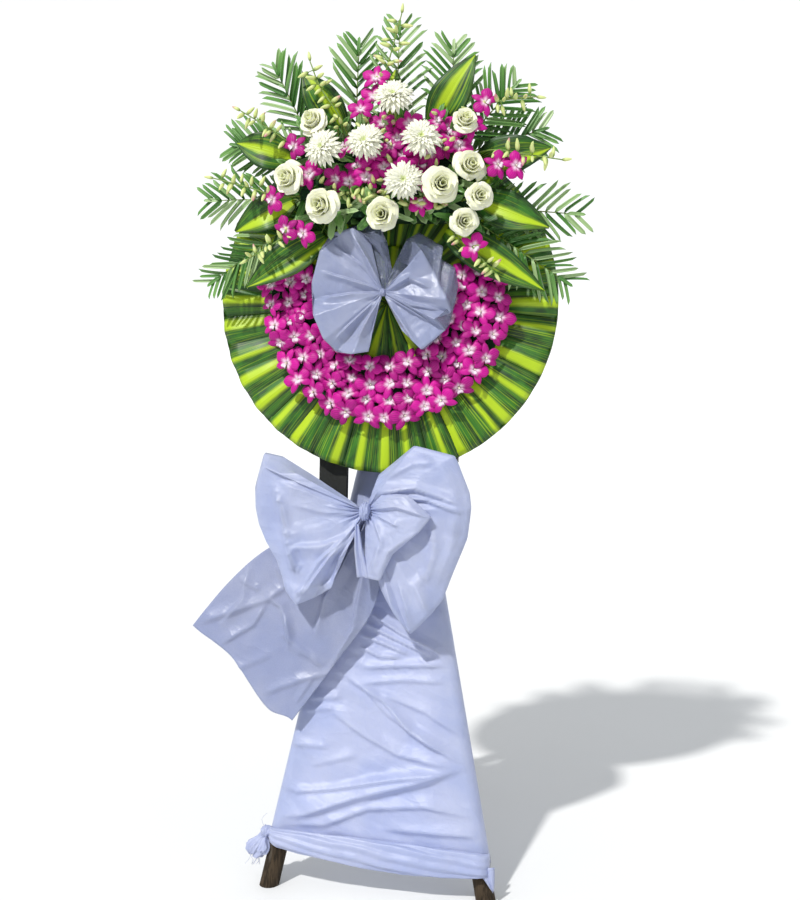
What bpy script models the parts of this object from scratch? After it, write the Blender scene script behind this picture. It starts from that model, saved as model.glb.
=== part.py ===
"""A standing funeral wreath: a leaf-covered disc with a bank of orchids, a spray of cut flowers
and foliage over it, cloth bows, and a draped stand of three lashed poles.

Blender 4.5. Metres, +Z up, the front faces -Y. Everything is modelled in a leaning frame, whose
x runs right, y back and z up the lean, with its origin at the middle of the disc's face. Places
are written there as (right, up, out), where out is the distance in front of the disc's board.
"""

import math
import random

import bmesh
import bpy
from mathutils import Matrix, Vector

# Driving dimensions
LEAN = math.radians(8)
DISC_HEIGHT = 1.25
BOARD_RADIUS = 0.345
BOARD_THICKNESS = 0.020
GAP = 0.0003

# Stand
POLE_SIDES = 16
POLE_TOP_RADIUS = 0.018
POLE_FOOT_RADIUS = 0.021
POLE_TOP_UP = -0.200
POLE_TOP_RIGHT = 0.0205
FOOT_RIGHT = 0.236
FOOT_UP = -1.262
FOOT_OUT = -0.020
REAR_FOOT_BACK = 0.50
BATTEN_WIDTH = 0.060
BATTEN_THICKNESS = 0.020
BATTEN_RIGHT = 0.115
BATTEN_TOP = 0.270
BATTEN_BOTTOM = -0.435
HEADER_WIDTH = 0.300
HEADER_HEIGHT = 0.060
HEADER_THICKNESS = 0.030
HEADER_UP = -0.305
LASHING_UP = -0.240
LASHING_HEIGHT = 0.034
LASHING_WIDTH = 0.124
LASHING_DEPTH = 0.100

# Leaf-covered disc
COLLAR_INNER = 0.122
COLLAR_OUTER = 0.360
COLLAR_LEAVES = 36
LEAF_THICKNESS = 0.004
LEAF_LAP = 0.0060
LEAF_CREASE = 0.0030
COLLAR_TOP = LEAF_THICKNESS + LEAF_LAP / 2 + LEAF_CREASE
CENTRE_RADIUS = 0.1195
CENTRE_LEAVES = 12

# Orchid bank round the lower part of the disc, in degrees from +x, anticlockwise
BANK_START = 163
BANK_END = 378
BANK_INNER = 0.140
BANK_OUTER = 0.248
BANK_FOAM_HEIGHT = 0.016
BANK_CORE_HEIGHT = 0.010
BANK_ROWS = (0.152, 0.197, 0.242)
BANK_SPACING = 0.0570
ORCHID_RADIUS = 0.0285

# Foam block that the spray's stems stand in
FOAM_HALF_WIDTH = 0.170
FOAM_BOTTOM = 0.165
FOAM_TOP = 0.325
FOAM_FRONT = 0.105
STEM_DEPTH = 0.028
STEM_SIDES = 3
STEM_CLEARANCE = 0.0004
FLOWER_STEM_RADIUS = 0.0026
LEAF_STALK_RADIUS = 0.0024
RIB_RADIUS = 0.0022
PEDICEL_RADIUS = 0.0014
LEAF_SHEET = 0.0014
LEAFLET_PAIRS = 6
LEAFLET_WIDTH = 0.0130
LEAFLET_THICKNESS = 0.0018
BUD_WIDTH = 0.0105
SPRAY_ORCHID_RADIUS = 0.026

# Cloth
CLOTH_THICKNESS = 0.0022
KNOT_TIE_RADIUS = 0.012
HEM_RADIUS = 0.010

# Flower heads, as (right, up, out, radius)
ROSES = (
    (-0.134, 0.350, 0.165, 0.031),
    (-0.183, 0.236, 0.165, 0.034),
    (-0.113, 0.180, 0.168, 0.036),
    (0.134, 0.218, 0.180, 0.037),
    (0.188, 0.260, 0.155, 0.033),
    (0.208, 0.198, 0.165, 0.028),
    (0.178, 0.148, 0.160, 0.029),
    (0.012, 0.162, 0.165, 0.036),
    (0.176, 0.350, 0.160, 0.027),
)
CHRYSANTHEMUMS = (
    (0.033, 0.391, 0.180, 0.042),
    (-0.106, 0.290, 0.185, 0.041),
    (-0.022, 0.303, 0.180, 0.040),
    (0.091, 0.309, 0.180, 0.042),
    (0.057, 0.226, 0.180, 0.041),
)

# Striped leaves, as the base and the tip (right, up, out) and the width
STRIPED_LEAVES = (
    ((0.100, 0.344, 0.092), (0.186, 0.492, 0.102), 0.080),
    ((-0.087, 0.347, 0.092), (-0.172, 0.464, 0.100), 0.074),
    ((0.020, 0.345, 0.092), (0.022, 0.470, 0.094), 0.052),
    ((-0.190, 0.290, 0.088), (-0.312, 0.322, 0.090), 0.080),
    ((0.190, 0.275, 0.088), (0.342, 0.306, 0.090), 0.084),
    ((-0.190, 0.205, 0.080), (-0.312, 0.138, 0.088), 0.076),
    ((0.190, 0.205, 0.080), (0.342, 0.146, 0.088), 0.080),
    ((-0.120, 0.132, 0.076), (-0.286, 0.022, 0.086), 0.076),
    ((0.130, 0.140, 0.076), (0.336, 0.018, 0.086), 0.076),
)

# Palm fronds, as the tip (right, up) and how far out of the board the frond lies
PALM_FRONDS = (
    (-0.066, 0.550, 0.046),
    (-0.248, 0.498, 0.062),
    (0.134, 0.542, 0.046),
    (0.276, 0.452, 0.062),
    (-0.342, 0.330, 0.046),
    (-0.390, 0.208, 0.062),
    (0.412, 0.176, 0.062),
    (-0.376, 0.026, 0.070),
    (0.390, 0.030, 0.070),
    (0.334, 0.356, 0.046),
    (0.022, 0.580, 0.062),
)

# Orchid sprays: the stem's places from its root in the foam to its tip, then where its open
# blooms and its buds sit, all as (right, up, out)
ORCHID_SPRAYS = (
    (
        ((-0.052, 0.294, 0.080), (-0.030, 0.372, 0.112), (0.002, 0.440, 0.126), (0.036, 0.572, 0.122)),
        ((-0.010, 0.440, 0.138), (-0.014, 0.404, 0.134)),
        ((0.038, 0.584, 0.122), (0.016, 0.560, 0.120), (0.048, 0.548, 0.122), (0.004, 0.522, 0.120),
         (0.044, 0.512, 0.124), (-0.010, 0.486, 0.122), (0.030, 0.476, 0.126)),
    ),
    (
        ((-0.062, 0.270, 0.080), (-0.078, 0.352, 0.136), (-0.126, 0.424, 0.132), (-0.150, 0.478, 0.128)),
        (),
        ((-0.152, 0.490, 0.128), (-0.134, 0.466, 0.128), (-0.164, 0.452, 0.130), (-0.112, 0.436, 0.130),
         (-0.146, 0.424, 0.134)),
    ),
    (
        ((-0.142, 0.272, 0.080), (-0.194, 0.316, 0.124), (-0.246, 0.352, 0.128), (-0.296, 0.382, 0.120)),
        ((-0.178, 0.304, 0.136),),
        ((-0.306, 0.388, 0.120), (-0.276, 0.382, 0.122), (-0.282, 0.356, 0.122), (-0.250, 0.370, 0.126),
         (-0.226, 0.326, 0.126)),
    ),
    (
        ((-0.142, 0.214, 0.080), (-0.212, 0.206, 0.122), (-0.270, 0.222, 0.128), (-0.352, 0.244, 0.120)),
        ((-0.222, 0.196, 0.132),),
        ((-0.362, 0.246, 0.120), (-0.330, 0.254, 0.120), (-0.318, 0.222, 0.122), (-0.290, 0.242, 0.126),
         (-0.264, 0.206, 0.126), (-0.246, 0.236, 0.126)),
    ),
    (
        ((-0.138, 0.196, 0.076), (-0.168, 0.148, 0.116), (-0.214, 0.112, 0.124), (-0.276, 0.078, 0.112)),
        ((-0.156, 0.128, 0.130), (-0.192, 0.136, 0.132)),
        ((-0.286, 0.072, 0.110), (-0.262, 0.098, 0.114), (-0.248, 0.078, 0.118), (-0.234, 0.116, 0.120)),
    ),
    (
        ((0.128, 0.296, 0.080), (0.176, 0.368, 0.120), (0.240, 0.392, 0.128), (0.312, 0.402, 0.118)),
        ((0.212, 0.388, 0.138), (0.132, 0.338, 0.128)),
        ((0.322, 0.400, 0.118), (0.298, 0.418, 0.118), (0.286, 0.384, 0.120), (0.262, 0.410, 0.124),
         (0.246, 0.374, 0.126)),
    ),
    (
        ((0.142, 0.282, 0.076), (0.222, 0.296, 0.120), (0.290, 0.286, 0.128), (0.366, 0.276, 0.118)),
        ((0.240, 0.264, 0.134), (0.276, 0.262, 0.132)),
        ((0.376, 0.276, 0.118), (0.348, 0.292, 0.118), (0.334, 0.266, 0.120), (0.306, 0.302, 0.124),
         (0.258, 0.308, 0.124)),
    ),
    (
        ((0.116, 0.196, 0.076), (0.150, 0.134, 0.114), (0.192, 0.096, 0.126), (0.236, 0.052, 0.112)),
        ((0.196, 0.100, 0.136),),
        ((0.242, 0.042, 0.110), (0.224, 0.050, 0.112), (0.240, 0.070, 0.114), (0.212, 0.066, 0.116)),
    ),
    (
        ((0.010, 0.270, 0.080), (0.024, 0.276, 0.122), (0.044, 0.288, 0.128), (0.054, 0.340, 0.128)),
        ((0.036, 0.318, 0.136), (0.060, 0.348, 0.134), (0.048, 0.284, 0.138), (0.004, 0.350, 0.132),
         (0.010, 0.260, 0.136), (-0.026, 0.240, 0.138), (-0.062, 0.232, 0.136), (0.088, 0.266, 0.136),
         (0.100, 0.238, 0.132)),
        ((-0.084, 0.196, 0.134), (-0.062, 0.190, 0.138), (-0.040, 0.200, 0.138), (-0.018, 0.206, 0.138),
         (0.092, 0.188, 0.134), (0.078, 0.176, 0.132), (-0.072, 0.216, 0.140)),
    ),
)

# Cloth outlines, as (right, up), from the knot round
CENTRE_KNOT = (0.006, 0.012)
CENTRE_LEFT_LOOP = (
    (-0.006, 0.020), (-0.004, 0.085), (-0.014, 0.150), (-0.046, 0.158), (-0.082, 0.146), (-0.122, 0.098),
    (-0.148, 0.030), (-0.140, -0.040), (-0.112, -0.092), (-0.070, -0.116), (-0.030, -0.110),
    (-0.010, -0.060), (-0.004, 0.000), (0.004, 0.012),
)
CENTRE_RIGHT_LOOP = (
    (0.016, 0.000), (0.034, -0.056), (0.062, -0.104), (0.100, -0.098), (0.122, -0.064), (0.146, -0.020),
    (0.154, 0.028), (0.142, 0.074), (0.110, 0.112), (0.066, 0.142), (0.036, 0.110), (0.020, 0.050),
    (0.014, 0.022), (0.008, 0.012),
)
LOWER_KNOT = (-0.028, -0.447)
LOWER_LEFT_LOOP = (
    (-0.040, -0.440), (-0.098, -0.384), (-0.170, -0.342), (-0.240, -0.326), (-0.262, -0.384),
    (-0.260, -0.440), (-0.222, -0.520), (-0.190, -0.600), (-0.158, -0.640), (-0.106, -0.600),
    (-0.076, -0.560), (-0.050, -0.500), (-0.038, -0.460), (-0.030, -0.447),
)
LOWER_RIGHT_LOOP = (
    (-0.018, -0.456), (0.000, -0.520), (0.030, -0.600), (0.064, -0.672), (0.080, -0.690), (0.128, -0.640),
    (0.160, -0.560), (0.192, -0.440), (0.196, -0.410), (0.150, -0.330), (0.112, -0.302), (0.078, -0.302),
    (0.030, -0.370), (-0.014, -0.436), (-0.024, -0.446),
)
TAIL_CORNERS = ((-0.040, -0.452), (-0.014, -0.456), (-0.395, -0.694), (-0.176, -0.884))
TAIL_EDGE = (0.010, -0.640)
SKIRT_TOP = -0.372
SKIRT_HEM_LEFT = -1.140
SKIRT_HEM_RIGHT = -1.222

COLOURS = {
    "bark": (0.05, 0.045, 0.035, 1),
    "batten": (0.02, 0.025, 0.02, 1),
    "board": (0.30, 0.21, 0.11, 1),
    "cord": (0.45, 0.36, 0.22, 1),
    "foam": (0.03, 0.12, 0.05, 1),
    "striped_leaf": (0.10, 0.33, 0.03, 1),
    "palm": (0.08, 0.26, 0.07, 1),
    "orchid": (0.52, 0.01, 0.34, 1),
    "orchid_spray": (0.62, 0.10, 0.42, 1),
    "rose": (0.86, 0.88, 0.66, 1),
    "chrysanthemum": (0.92, 0.93, 0.84, 1),
    "cloth": (0.66, 0.70, 0.90, 1),
}
ROUGHNESS = {"striped_leaf": 0.35, "palm": 0.45, "cloth": 0.55, "bark": 0.9}

for old in list(bpy.data.objects):
    bpy.data.objects.remove(old)

parts = bpy.data.collections.new("funeral_wreath")
cutters = bpy.data.collections.new("cutters")
cutters.hide_render = True
bpy.context.scene.collection.children.link(parts)
bpy.context.scene.collection.children.link(cutters)
leaning_frame = bpy.data.objects.new("leaning_frame", None)
parts.objects.link(leaning_frame)
foam_holes = []


def at(right, up, out):
    """A place on the wreath as a point of the leaning frame."""
    return Vector((right, -out, up))


def clamp(value, low, high):
    return max(low, min(high, value))


def material(name):
    """The Principled material of that name, made once."""
    made = bpy.data.materials.get(name)
    if made is None:
        made = bpy.data.materials.new(name)
        made.use_nodes = True
        shader = made.node_tree.nodes["Principled BSDF"]
        shader.inputs["Base Color"].default_value = COLOURS[name]
        shader.inputs["Roughness"].default_value = ROUGHNESS.get(name, 0.6)
        shader.inputs["Metallic"].default_value = 0.0
    return made


def piece(bm, name="piece"):
    """The bmesh as an object of its own, not yet in the parts collection."""
    mesh = bpy.data.meshes.new(name)
    bm.to_mesh(mesh)
    bm.free()
    return bpy.data.objects.new(name, mesh)


def finish(obj, name, material_name, smooth=True):
    """Names the object, gives it its material and sets it in the leaning frame."""
    obj.name = obj.data.name = name
    obj.data.materials.clear()
    obj.data.materials.append(material(material_name))
    if smooth:
        obj.data.shade_smooth()
        obj.data.set_sharp_from_angle(angle=math.radians(40))
    parts.objects.link(obj)
    obj.parent = leaning_frame
    return obj


def baked(obj):
    """The object with its modifiers applied."""
    bpy.context.scene.collection.objects.link(obj)
    graph = bpy.context.evaluated_depsgraph_get()
    mesh = bpy.data.meshes.new_from_object(obj.evaluated_get(graph))
    made = bpy.data.objects.new(obj.name, mesh)
    bpy.data.objects.remove(obj)
    return made


def fused(pieces):
    """One body from overlapping pieces, by one union on a collection."""
    base, others = pieces[0], pieces[1:]
    holder = bpy.data.collections.new("pieces")
    bpy.context.scene.collection.children.link(holder)
    for other in others:
        holder.objects.link(other)
    join = base.modifiers.new("join", "BOOLEAN")
    join.operation = "UNION"
    join.operand_type = "COLLECTION"
    join.collection = holder
    join.solver = "MANIFOLD"
    made = baked(base)
    for other in others:
        bpy.data.objects.remove(other)
    bpy.data.collections.remove(holder)
    return made


def cut(obj, tools):
    """Takes the tools out of the object and keeps them as hidden cutters."""
    holder = bpy.data.collections.new(obj.name + "_cutters")
    cutters.children.link(holder)
    for tool in tools:
        tool.hide_render = True
        tool.display_type = "WIRE"
        tool.parent = leaning_frame
        holder.objects.link(tool)
    take = obj.modifiers.new("cut", "BOOLEAN")
    take.operation = "DIFFERENCE"
    take.operand_type = "COLLECTION"
    take.collection = holder
    take.solver = "MANIFOLD"


def facing_matrix(place, facing, roll=0.0):
    """Stands a shape's +Z along facing, at place, turned by roll about it."""
    turn = facing.to_track_quat("Z", "Y").to_matrix().to_4x4()
    return Matrix.Translation(place) @ turn @ Matrix.Rotation(roll, 4, "Z")


def moved(obj, matrix):
    """The piece with its mesh carried by the matrix."""
    obj.data.transform(matrix)
    return obj


def turned_out(bm):
    """Turns every face of a closed body outwards."""
    bmesh.ops.recalc_face_normals(bm, faces=bm.faces)
    if bm.calc_volume(signed=True) < 0:
        bmesh.ops.reverse_faces(bm, faces=bm.faces)
    return bm


def spun(segments, rings):
    """A unit sphere's bmesh and its rings of points, from the bottom pole up."""
    bm = bmesh.new()
    bmesh.ops.create_uvsphere(bm, u_segments=segments, v_segments=rings + 1, radius=1)
    by_height = {}
    for vert in bm.verts:
        by_height.setdefault(round(vert.co.z, 3), []).append(vert)
    levels = [
        sorted(by_height[height], key=lambda vert: math.atan2(vert.co.y, vert.co.x) % math.tau)
        for height in sorted(by_height)
    ]
    return bm, levels


def egg(width, depth, height, segments=8, rings=3):
    """A rounded body of the given half sizes."""
    bm, _ = spun(segments, rings)
    for vert in bm.verts:
        vert.co = Vector((vert.co.x * width, vert.co.y * depth, vert.co.z * height))
    return piece(bm)


def outlined(outline, back, front):
    """A lens with the outline's points as its rim, and a point behind and before it."""
    bm, levels = spun(len(outline), 1)
    for vert, place in zip(levels[1], outline):
        vert.co = place
    levels[0][0].co = back
    levels[2][0].co = front
    return piece(turned_out(bm))


def blade(base, tip, width, thickness, face, widest=0.55):
    """A four-cornered blade or bud from base to tip, flat across the face direction."""
    along = tip - base
    side = along.cross(face).normalized() * width / 2
    rise = side.cross(along).normalized() * thickness / 2
    middle = base + along * widest
    return outlined((base, middle + side, tip, middle - side), middle - rise, middle + rise)


def rod(start, end, radius, end_radius=None, sides=STEM_SIDES):
    """A straight tapered rod between two points."""
    bm = bmesh.new()
    axis = end - start
    bmesh.ops.create_cone(
        bm,
        cap_ends=True,
        segments=sides,
        radius1=radius,
        radius2=radius if end_radius is None else end_radius,
        depth=axis.length,
        matrix=facing_matrix((start + end) / 2, axis),
    )
    return piece(bm, "rod")


def cuboid(low, high):
    """A box between two corners given as (right, up, out)."""
    bm = bmesh.new()
    bmesh.ops.create_cube(bm, size=1)
    low, high = at(*low), at(*high)
    for vert in bm.verts:
        vert.co = Vector(
            (a + b) / 2 + c * abs(b - a) for a, b, c in zip(low, high, vert.co)
        )
    return piece(bm, "cuboid")


def tube(points, radius):
    """A four-sided tube along the points, closed at both ends."""
    curve = bpy.data.curves.new("tube", "CURVE")
    curve.dimensions = "3D"
    curve.bevel_depth = radius
    curve.bevel_resolution = 0
    curve.use_fill_caps = True
    spline = curve.splines.new("POLY")
    spline.points.add(len(points) - 1)
    for knot, point in zip(spline.points, points):
        knot.co = (*point, 1)
    made = baked(bpy.data.objects.new("tube", curve))
    bm = bmesh.new()
    bm.from_mesh(made.data)
    bmesh.ops.remove_doubles(bm, verts=bm.verts, dist=1e-6)
    turned_out(bm).to_mesh(made.data)
    bm.free()
    return made


def skin(along, across, place):
    """A grid moved by place(s, t) and merged where it meets itself, with any ends filled."""
    bm = bmesh.new()
    bmesh.ops.create_grid(bm, x_segments=along, y_segments=across, size=0.5)
    for vert in bm.verts:
        vert.co = place(vert.co.x + 0.5, vert.co.y + 0.5)
    bmesh.ops.remove_doubles(bm, verts=bm.verts, dist=1e-6)
    bmesh.ops.holes_fill(bm, edges=bm.edges)
    return piece(turned_out(bm), "skin")


def sheet(along, across, place, thickness):
    """A thin sheet moved by place(s, t), split alike on both faces."""
    bm = bmesh.new()
    bmesh.ops.create_grid(bm, x_segments=along, y_segments=across, size=0.5)
    for vert in bm.verts:
        vert.co = place(vert.co.x + 0.5, vert.co.y + 0.5)
    bmesh.ops.triangulate(bm, faces=bm.faces)
    made = piece(bm, "sheet")
    wall = made.modifiers.new("wall", "SOLIDIFY")
    wall.thickness = thickness
    wall.offset = 0
    return baked(made)


def foam_root(right, up, out):
    """The nearest place inside the foam for a stem to end."""
    return at(
        clamp(right, STEM_DEPTH - FOAM_HALF_WIDTH, FOAM_HALF_WIDTH - STEM_DEPTH),
        clamp(up, FOAM_BOTTOM + STEM_DEPTH, FOAM_TOP - STEM_DEPTH),
        out,
    )


def stem(root, neck, radius):
    """A straight stem from its root in the foam, with its plain hole there noted."""
    back = (neck - root).normalized() * 0.0015
    foam_holes.append((root - back, neck, radius + STEM_CLEARANCE))
    return rod(root, neck, radius)


def floor_up(point):
    """How high a point of the leaning frame stands over the floor."""
    return DISC_HEIGHT + point.z * math.cos(LEAN) - point.y * math.sin(LEAN)


# Stand


def batten_back():
    return BOARD_THICKNESS + GAP + BATTEN_THICKNESS


def header_back():
    return batten_back() + GAP + HEADER_THICKNESS


def front_pole(up):
    """A front pole's distance from the middle, its out and its radius at a height."""
    part = (POLE_TOP_UP - up) / (POLE_TOP_UP - FOOT_UP)
    header_low = HEADER_UP - HEADER_HEIGHT / 2
    header_out = -header_back() - GAP - POLE_TOP_RADIUS - 0.0006
    slope = (FOOT_OUT - header_out) / (FOOT_UP - header_low)
    return (
        POLE_TOP_RIGHT + part * (FOOT_RIGHT - POLE_TOP_RIGHT),
        header_out + (up - header_low) * slope,
        POLE_TOP_RADIUS + part * (POLE_FOOT_RADIUS - POLE_TOP_RADIUS),
    )


def pole(top, foot, name):
    """A round pole whose foot is cut level on the floor."""
    made = rod(top, foot, POLE_TOP_RADIUS, POLE_FOOT_RADIUS, POLE_SIDES)
    along = (foot - top).normalized()
    fall = floor_up(Vector()) - floor_up(along)
    for vert in made.data.vertices:
        if (vert.co - foot).length < (vert.co - top).length:
            vert.co += along * (floor_up(vert.co) / fall)
    finish(made, name, "bark")


def stand():
    """Three lashed poles, the header they carry and the battens that hold the disc's board."""
    for side, word in ((-1, "left"), (1, "right")):
        inner = side * BATTEN_RIGHT - BATTEN_WIDTH / 2
        low = (inner, BATTEN_BOTTOM, -batten_back())
        high = (inner + BATTEN_WIDTH, BATTEN_TOP, -BOARD_THICKNESS - GAP)
        finish(cuboid(low, high), f"batten_{word}", "batten", smooth=False)
    low = (-HEADER_WIDTH / 2, HEADER_UP - HEADER_HEIGHT / 2, -header_back())
    high = (HEADER_WIDTH / 2, HEADER_UP + HEADER_HEIGHT / 2, -batten_back() - GAP)
    finish(cuboid(low, high), "header", "batten", smooth=False)

    front_out = front_pole(POLE_TOP_UP)[1]
    rear_out = front_out - 2 * POLE_TOP_RADIUS - 0.001
    rear_foot = Vector((0, REAR_FOOT_BACK, -DISC_HEIGHT))
    rear_foot.rotate(Matrix.Rotation(LEAN, 3, "X"))
    poles = {
        "left": (at(-POLE_TOP_RIGHT, POLE_TOP_UP, front_out), at(-FOOT_RIGHT, FOOT_UP, FOOT_OUT)),
        "right": (at(POLE_TOP_RIGHT, POLE_TOP_UP, front_out), at(FOOT_RIGHT, FOOT_UP, FOOT_OUT)),
        "rear": (at(0, POLE_TOP_UP, rear_out), rear_foot),
    }
    holes = []
    for word, (top, foot) in poles.items():
        pole(top, foot, f"leg_{word}")
        along = (foot - top).normalized()
        reach = POLE_TOP_RADIUS + 0.0006
        holes.append(rod(top - 0.05 * along, top + 0.12 * along, reach, sides=POLE_SIDES))

    bm = bmesh.new()
    middle = at(0, LASHING_UP, (front_out + rear_out) / 2)
    size = Matrix.Diagonal((LASHING_WIDTH / 2, LASHING_DEPTH / 2, LASHING_HEIGHT, 1))
    place = Matrix.Translation(middle) @ size
    bmesh.ops.create_cone(bm, cap_ends=True, segments=18, radius1=1, radius2=1, depth=1, matrix=place)
    lashing = finish(piece(bm), "lashing", "cord")
    cut(lashing, holes)
    board = rod(at(0, 0, -BOARD_THICKNESS), at(0, 0, 0), BOARD_RADIUS, sides=48)
    finish(board, "wreath_board", "board")


# Leaves laid on the board


def lapped(turn, leaves):
    """How far the lapped leaves stand up, and where the fold of each lies, round the disc."""
    column = round(turn * leaves * 3)
    leaf, part = divmod(column, 3)
    share = (0.0, 0.5, 0.94)[part]
    rise = LEAF_LAP * share + (LEAF_CREASE if part == 1 else 0)
    return math.tau * (leaf + share) / leaves, rise


def leaf_collar():
    """Pleated leaves lapped round the board, turned over its rim."""
    bottom = GAP
    top = LEAF_THICKNESS
    profile = (
        (COLLAR_INNER, bottom, 0),
        (COLLAR_INNER, top, 0.9),
        (0.352, top, 1),
        (COLLAR_OUTER + 0.002, top - 0.002, 0.6),
        (BOARD_RADIUS + 0.0060, -BOARD_THICKNESS + 0.0005, 0),
        (BOARD_RADIUS + 0.0012, bottom, 0),
        (COLLAR_INNER, bottom, 0),
    )

    def place(s, t):
        angle, rise = lapped(s, COLLAR_LEAVES)
        radius, out, share = profile[round(t * (len(profile) - 1))]
        return at(radius * math.cos(angle), radius * math.sin(angle), out + share * rise)

    made = skin(COLLAR_LEAVES * 3, len(profile) - 1, place)
    finish(made, "leaf_collar", "striped_leaf")


def centre_leaves():
    """The fan of leaves that covers the middle of the board."""
    profile = ((0, GAP), (CENTRE_RADIUS, GAP), (CENTRE_RADIUS, LEAF_THICKNESS), (0.03, 0.006), (0, 0.007))

    def place(s, t):
        angle, rise = lapped(s, CENTRE_LEAVES)
        row = round(t * (len(profile) - 1))
        radius, out = profile[row]
        if row in (2, 3):
            out += 0.7 * rise
        return at(radius * math.cos(angle), radius * math.sin(angle), out)

    made = skin(CENTRE_LEAVES * 3, len(profile) - 1, place)
    finish(made, "centre_leaves", "striped_leaf")


# Orchid bank


def arc_bar(inner, outer, low, high, steps=22):
    """A bar of rectangular section along the bank's arc."""
    corners = ((inner, low), (outer, low), (outer, high), (inner, high), (inner, low))

    def place(s, t):
        angle = math.radians(BANK_START + s * (BANK_END - BANK_START))
        radius, out = corners[round(t * 4)]
        return at(radius * math.cos(angle), radius * math.sin(angle), out)

    return skin(steps, 4, place)


def orchid(radius, depth=1.0):
    """A five-lobed bloom facing +Z: three narrow sepals and two broad petals round a raised lip."""
    notch = (-36, 0.46, 0.0)
    sepal = (notch, (0, 1.0, -0.08))
    petal = (notch, (-22, 1.0, 0.06), (22, 1.0, 0.06))
    outline = []
    for angle, lobe in ((18, petal), (90, sepal), (162, petal), (234, sepal), (306, sepal)):
        for turn, share, rise in lobe:
            bearing = math.radians(angle + turn)
            outline.append(Vector((share * math.cos(bearing), share * math.sin(bearing), rise)) * radius)
    back = Vector((0, 0, -0.34 * depth * radius))
    return outlined(outline, back, Vector((0, -0.05 * radius, 0.26 * radius)))


def orchid_bank():
    """Rows of blooms pinned close together on a C-shaped ring of foam."""
    foam_low = COLLAR_TOP + GAP
    foam_high = foam_low + BANK_FOAM_HEIGHT
    finish(arc_bar(BANK_INNER, BANK_OUTER, foam_low, foam_high), "ring_foam", "foam", smooth=False)
    core_low = foam_high + GAP
    core_high = core_low + BANK_CORE_HEIGHT
    blooms = [arc_bar(BANK_INNER - 0.004, BANK_OUTER + 0.004, core_low, core_high)]
    draw = random.Random(4)
    for row, radius in enumerate(BANK_ROWS):
        span = math.radians(BANK_END - BANK_START)
        count = round(span * radius / BANK_SPACING)
        for number in range(count + 1):
            share = clamp((number + 0.5 * (row % 2)) / count, 0.0, 1.0)
            if number == count and row % 2:
                continue
            angle = math.radians(BANK_START) + share * span
            reach = radius + draw.uniform(-0.004, 0.004)
            place = at(reach * math.cos(angle), reach * math.sin(angle), core_high + 0.008)
            lean = (radius - BANK_ROWS[1]) * 6
            facing = at(
                lean * math.cos(angle) + draw.uniform(-0.2, 0.2),
                lean * math.sin(angle) + draw.uniform(-0.2, 0.2),
                1,
            )
            turn = facing_matrix(place, facing, draw.uniform(-0.6, 0.6))
            blooms.append(moved(orchid(ORCHID_RADIUS, 1.3), turn))
    finish(fused(blooms), "orchid_bank", "orchid")


# Flower heads


def rose(radius):
    """A half-open rose facing +Z: whorls of five scalloped petals that step in to the heart."""
    whorls = (
        (-0.26, 0.82, 0.04, 0.00, 0),
        (0.30, 0.97, 0.08, 0.12, 0),
        (0.14, 0.74, 0.05, 0.06, 36),
        (0.60, 0.62, 0.08, 0.10, 36),
        (0.36, 0.34, 0.04, 0.04, 0),
    )
    bm, levels = spun(15, len(whorls))
    for level, (height, reach, wave, dip, turn) in zip(levels[1:-1], whorls):
        for number, vert in enumerate(level):
            angle = math.tau * number / 15
            lobe = math.cos(5 * angle + math.radians(5 * turn))
            share = reach + wave * lobe
            flat = Vector((math.cos(angle), math.sin(angle), 0)) * share
            vert.co = (flat + Vector((0, 0, height + dip * lobe))) * radius
    levels[0][0].co = Vector((0, 0, -0.70 * radius))
    levels[-1][0].co = Vector((0, 0, 0.74 * radius))
    return [piece(turned_out(bm))]


def chrysanthemum(radius):
    """A many-rayed head facing +Z: rings of narrow petals round a low heart."""
    petals = [egg(0.42 * radius, 0.42 * radius, 0.34 * radius, 6)]
    rings = ((10, 2, 1.0, 0.34, 0.00, 0), (6, 30, 0.90, 0.26, 0.10, 13))
    for count, tilt, reach, start, height, first in rings:
        for number in range(count):
            angle = math.tau * number / count + math.radians(first)
            rise = math.radians(tilt)
            flat = Vector((math.cos(angle), math.sin(angle), 0))
            out = flat * math.cos(rise) + Vector((0, 0, math.sin(rise)))
            face = Vector((0, 0, math.cos(rise))) - flat * math.sin(rise)
            base = flat * start + Vector((0, 0, height))
            petals.append(
                blade(base * radius, out * reach * radius, 0.28 * radius, 0.10 * radius, face, 0.62)
            )
    return petals


def flower_head(name, place, make, material_name):
    """A bloom on its stem, turned a little outwards, with the stem standing in the foam."""
    right, up, out, head = place
    centre = at(right, up, out)
    facing = at(1.6 * right, 1.4 * (up - 0.24), 1.0).normalized()
    neck = centre - facing * 0.12 * head
    root = foam_root(right, up, FOAM_FRONT - STEM_DEPTH)
    pieces = [moved(part, facing_matrix(centre, facing)) for part in make(head)]
    pieces.append(stem(root, neck, FLOWER_STEM_RADIUS))
    finish(fused(pieces), name, material_name)


# Foliage


def striped_leaf(name, base, tip, width):
    """A broad arched leaf with a channelled middle, on a short stalk that stands in the foam."""
    base, tip = at(*base), at(*tip)
    along = tip - base
    side = along.cross(at(0, 0, 1)).normalized()

    def place(s, t):
        across = 2 * t - 1
        spread = width / 2 * max(0.10, math.sin(math.pi * min(s * 0.92 + 0.06, 1) ** 0.8))
        lift = 0.010 * math.sin(math.pi * s) + 0.006 * abs(across) * math.sin(math.pi * s)
        return base + along * s + side * across * spread + at(0, 0, lift)

    root = foam_root(base.x, base.z, -base.y)
    pieces = [sheet(4, 4, place, LEAF_SHEET), stem(root, base + along * 0.06, LEAF_STALK_RADIUS)]
    finish(fused(pieces), name, "striped_leaf")


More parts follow.
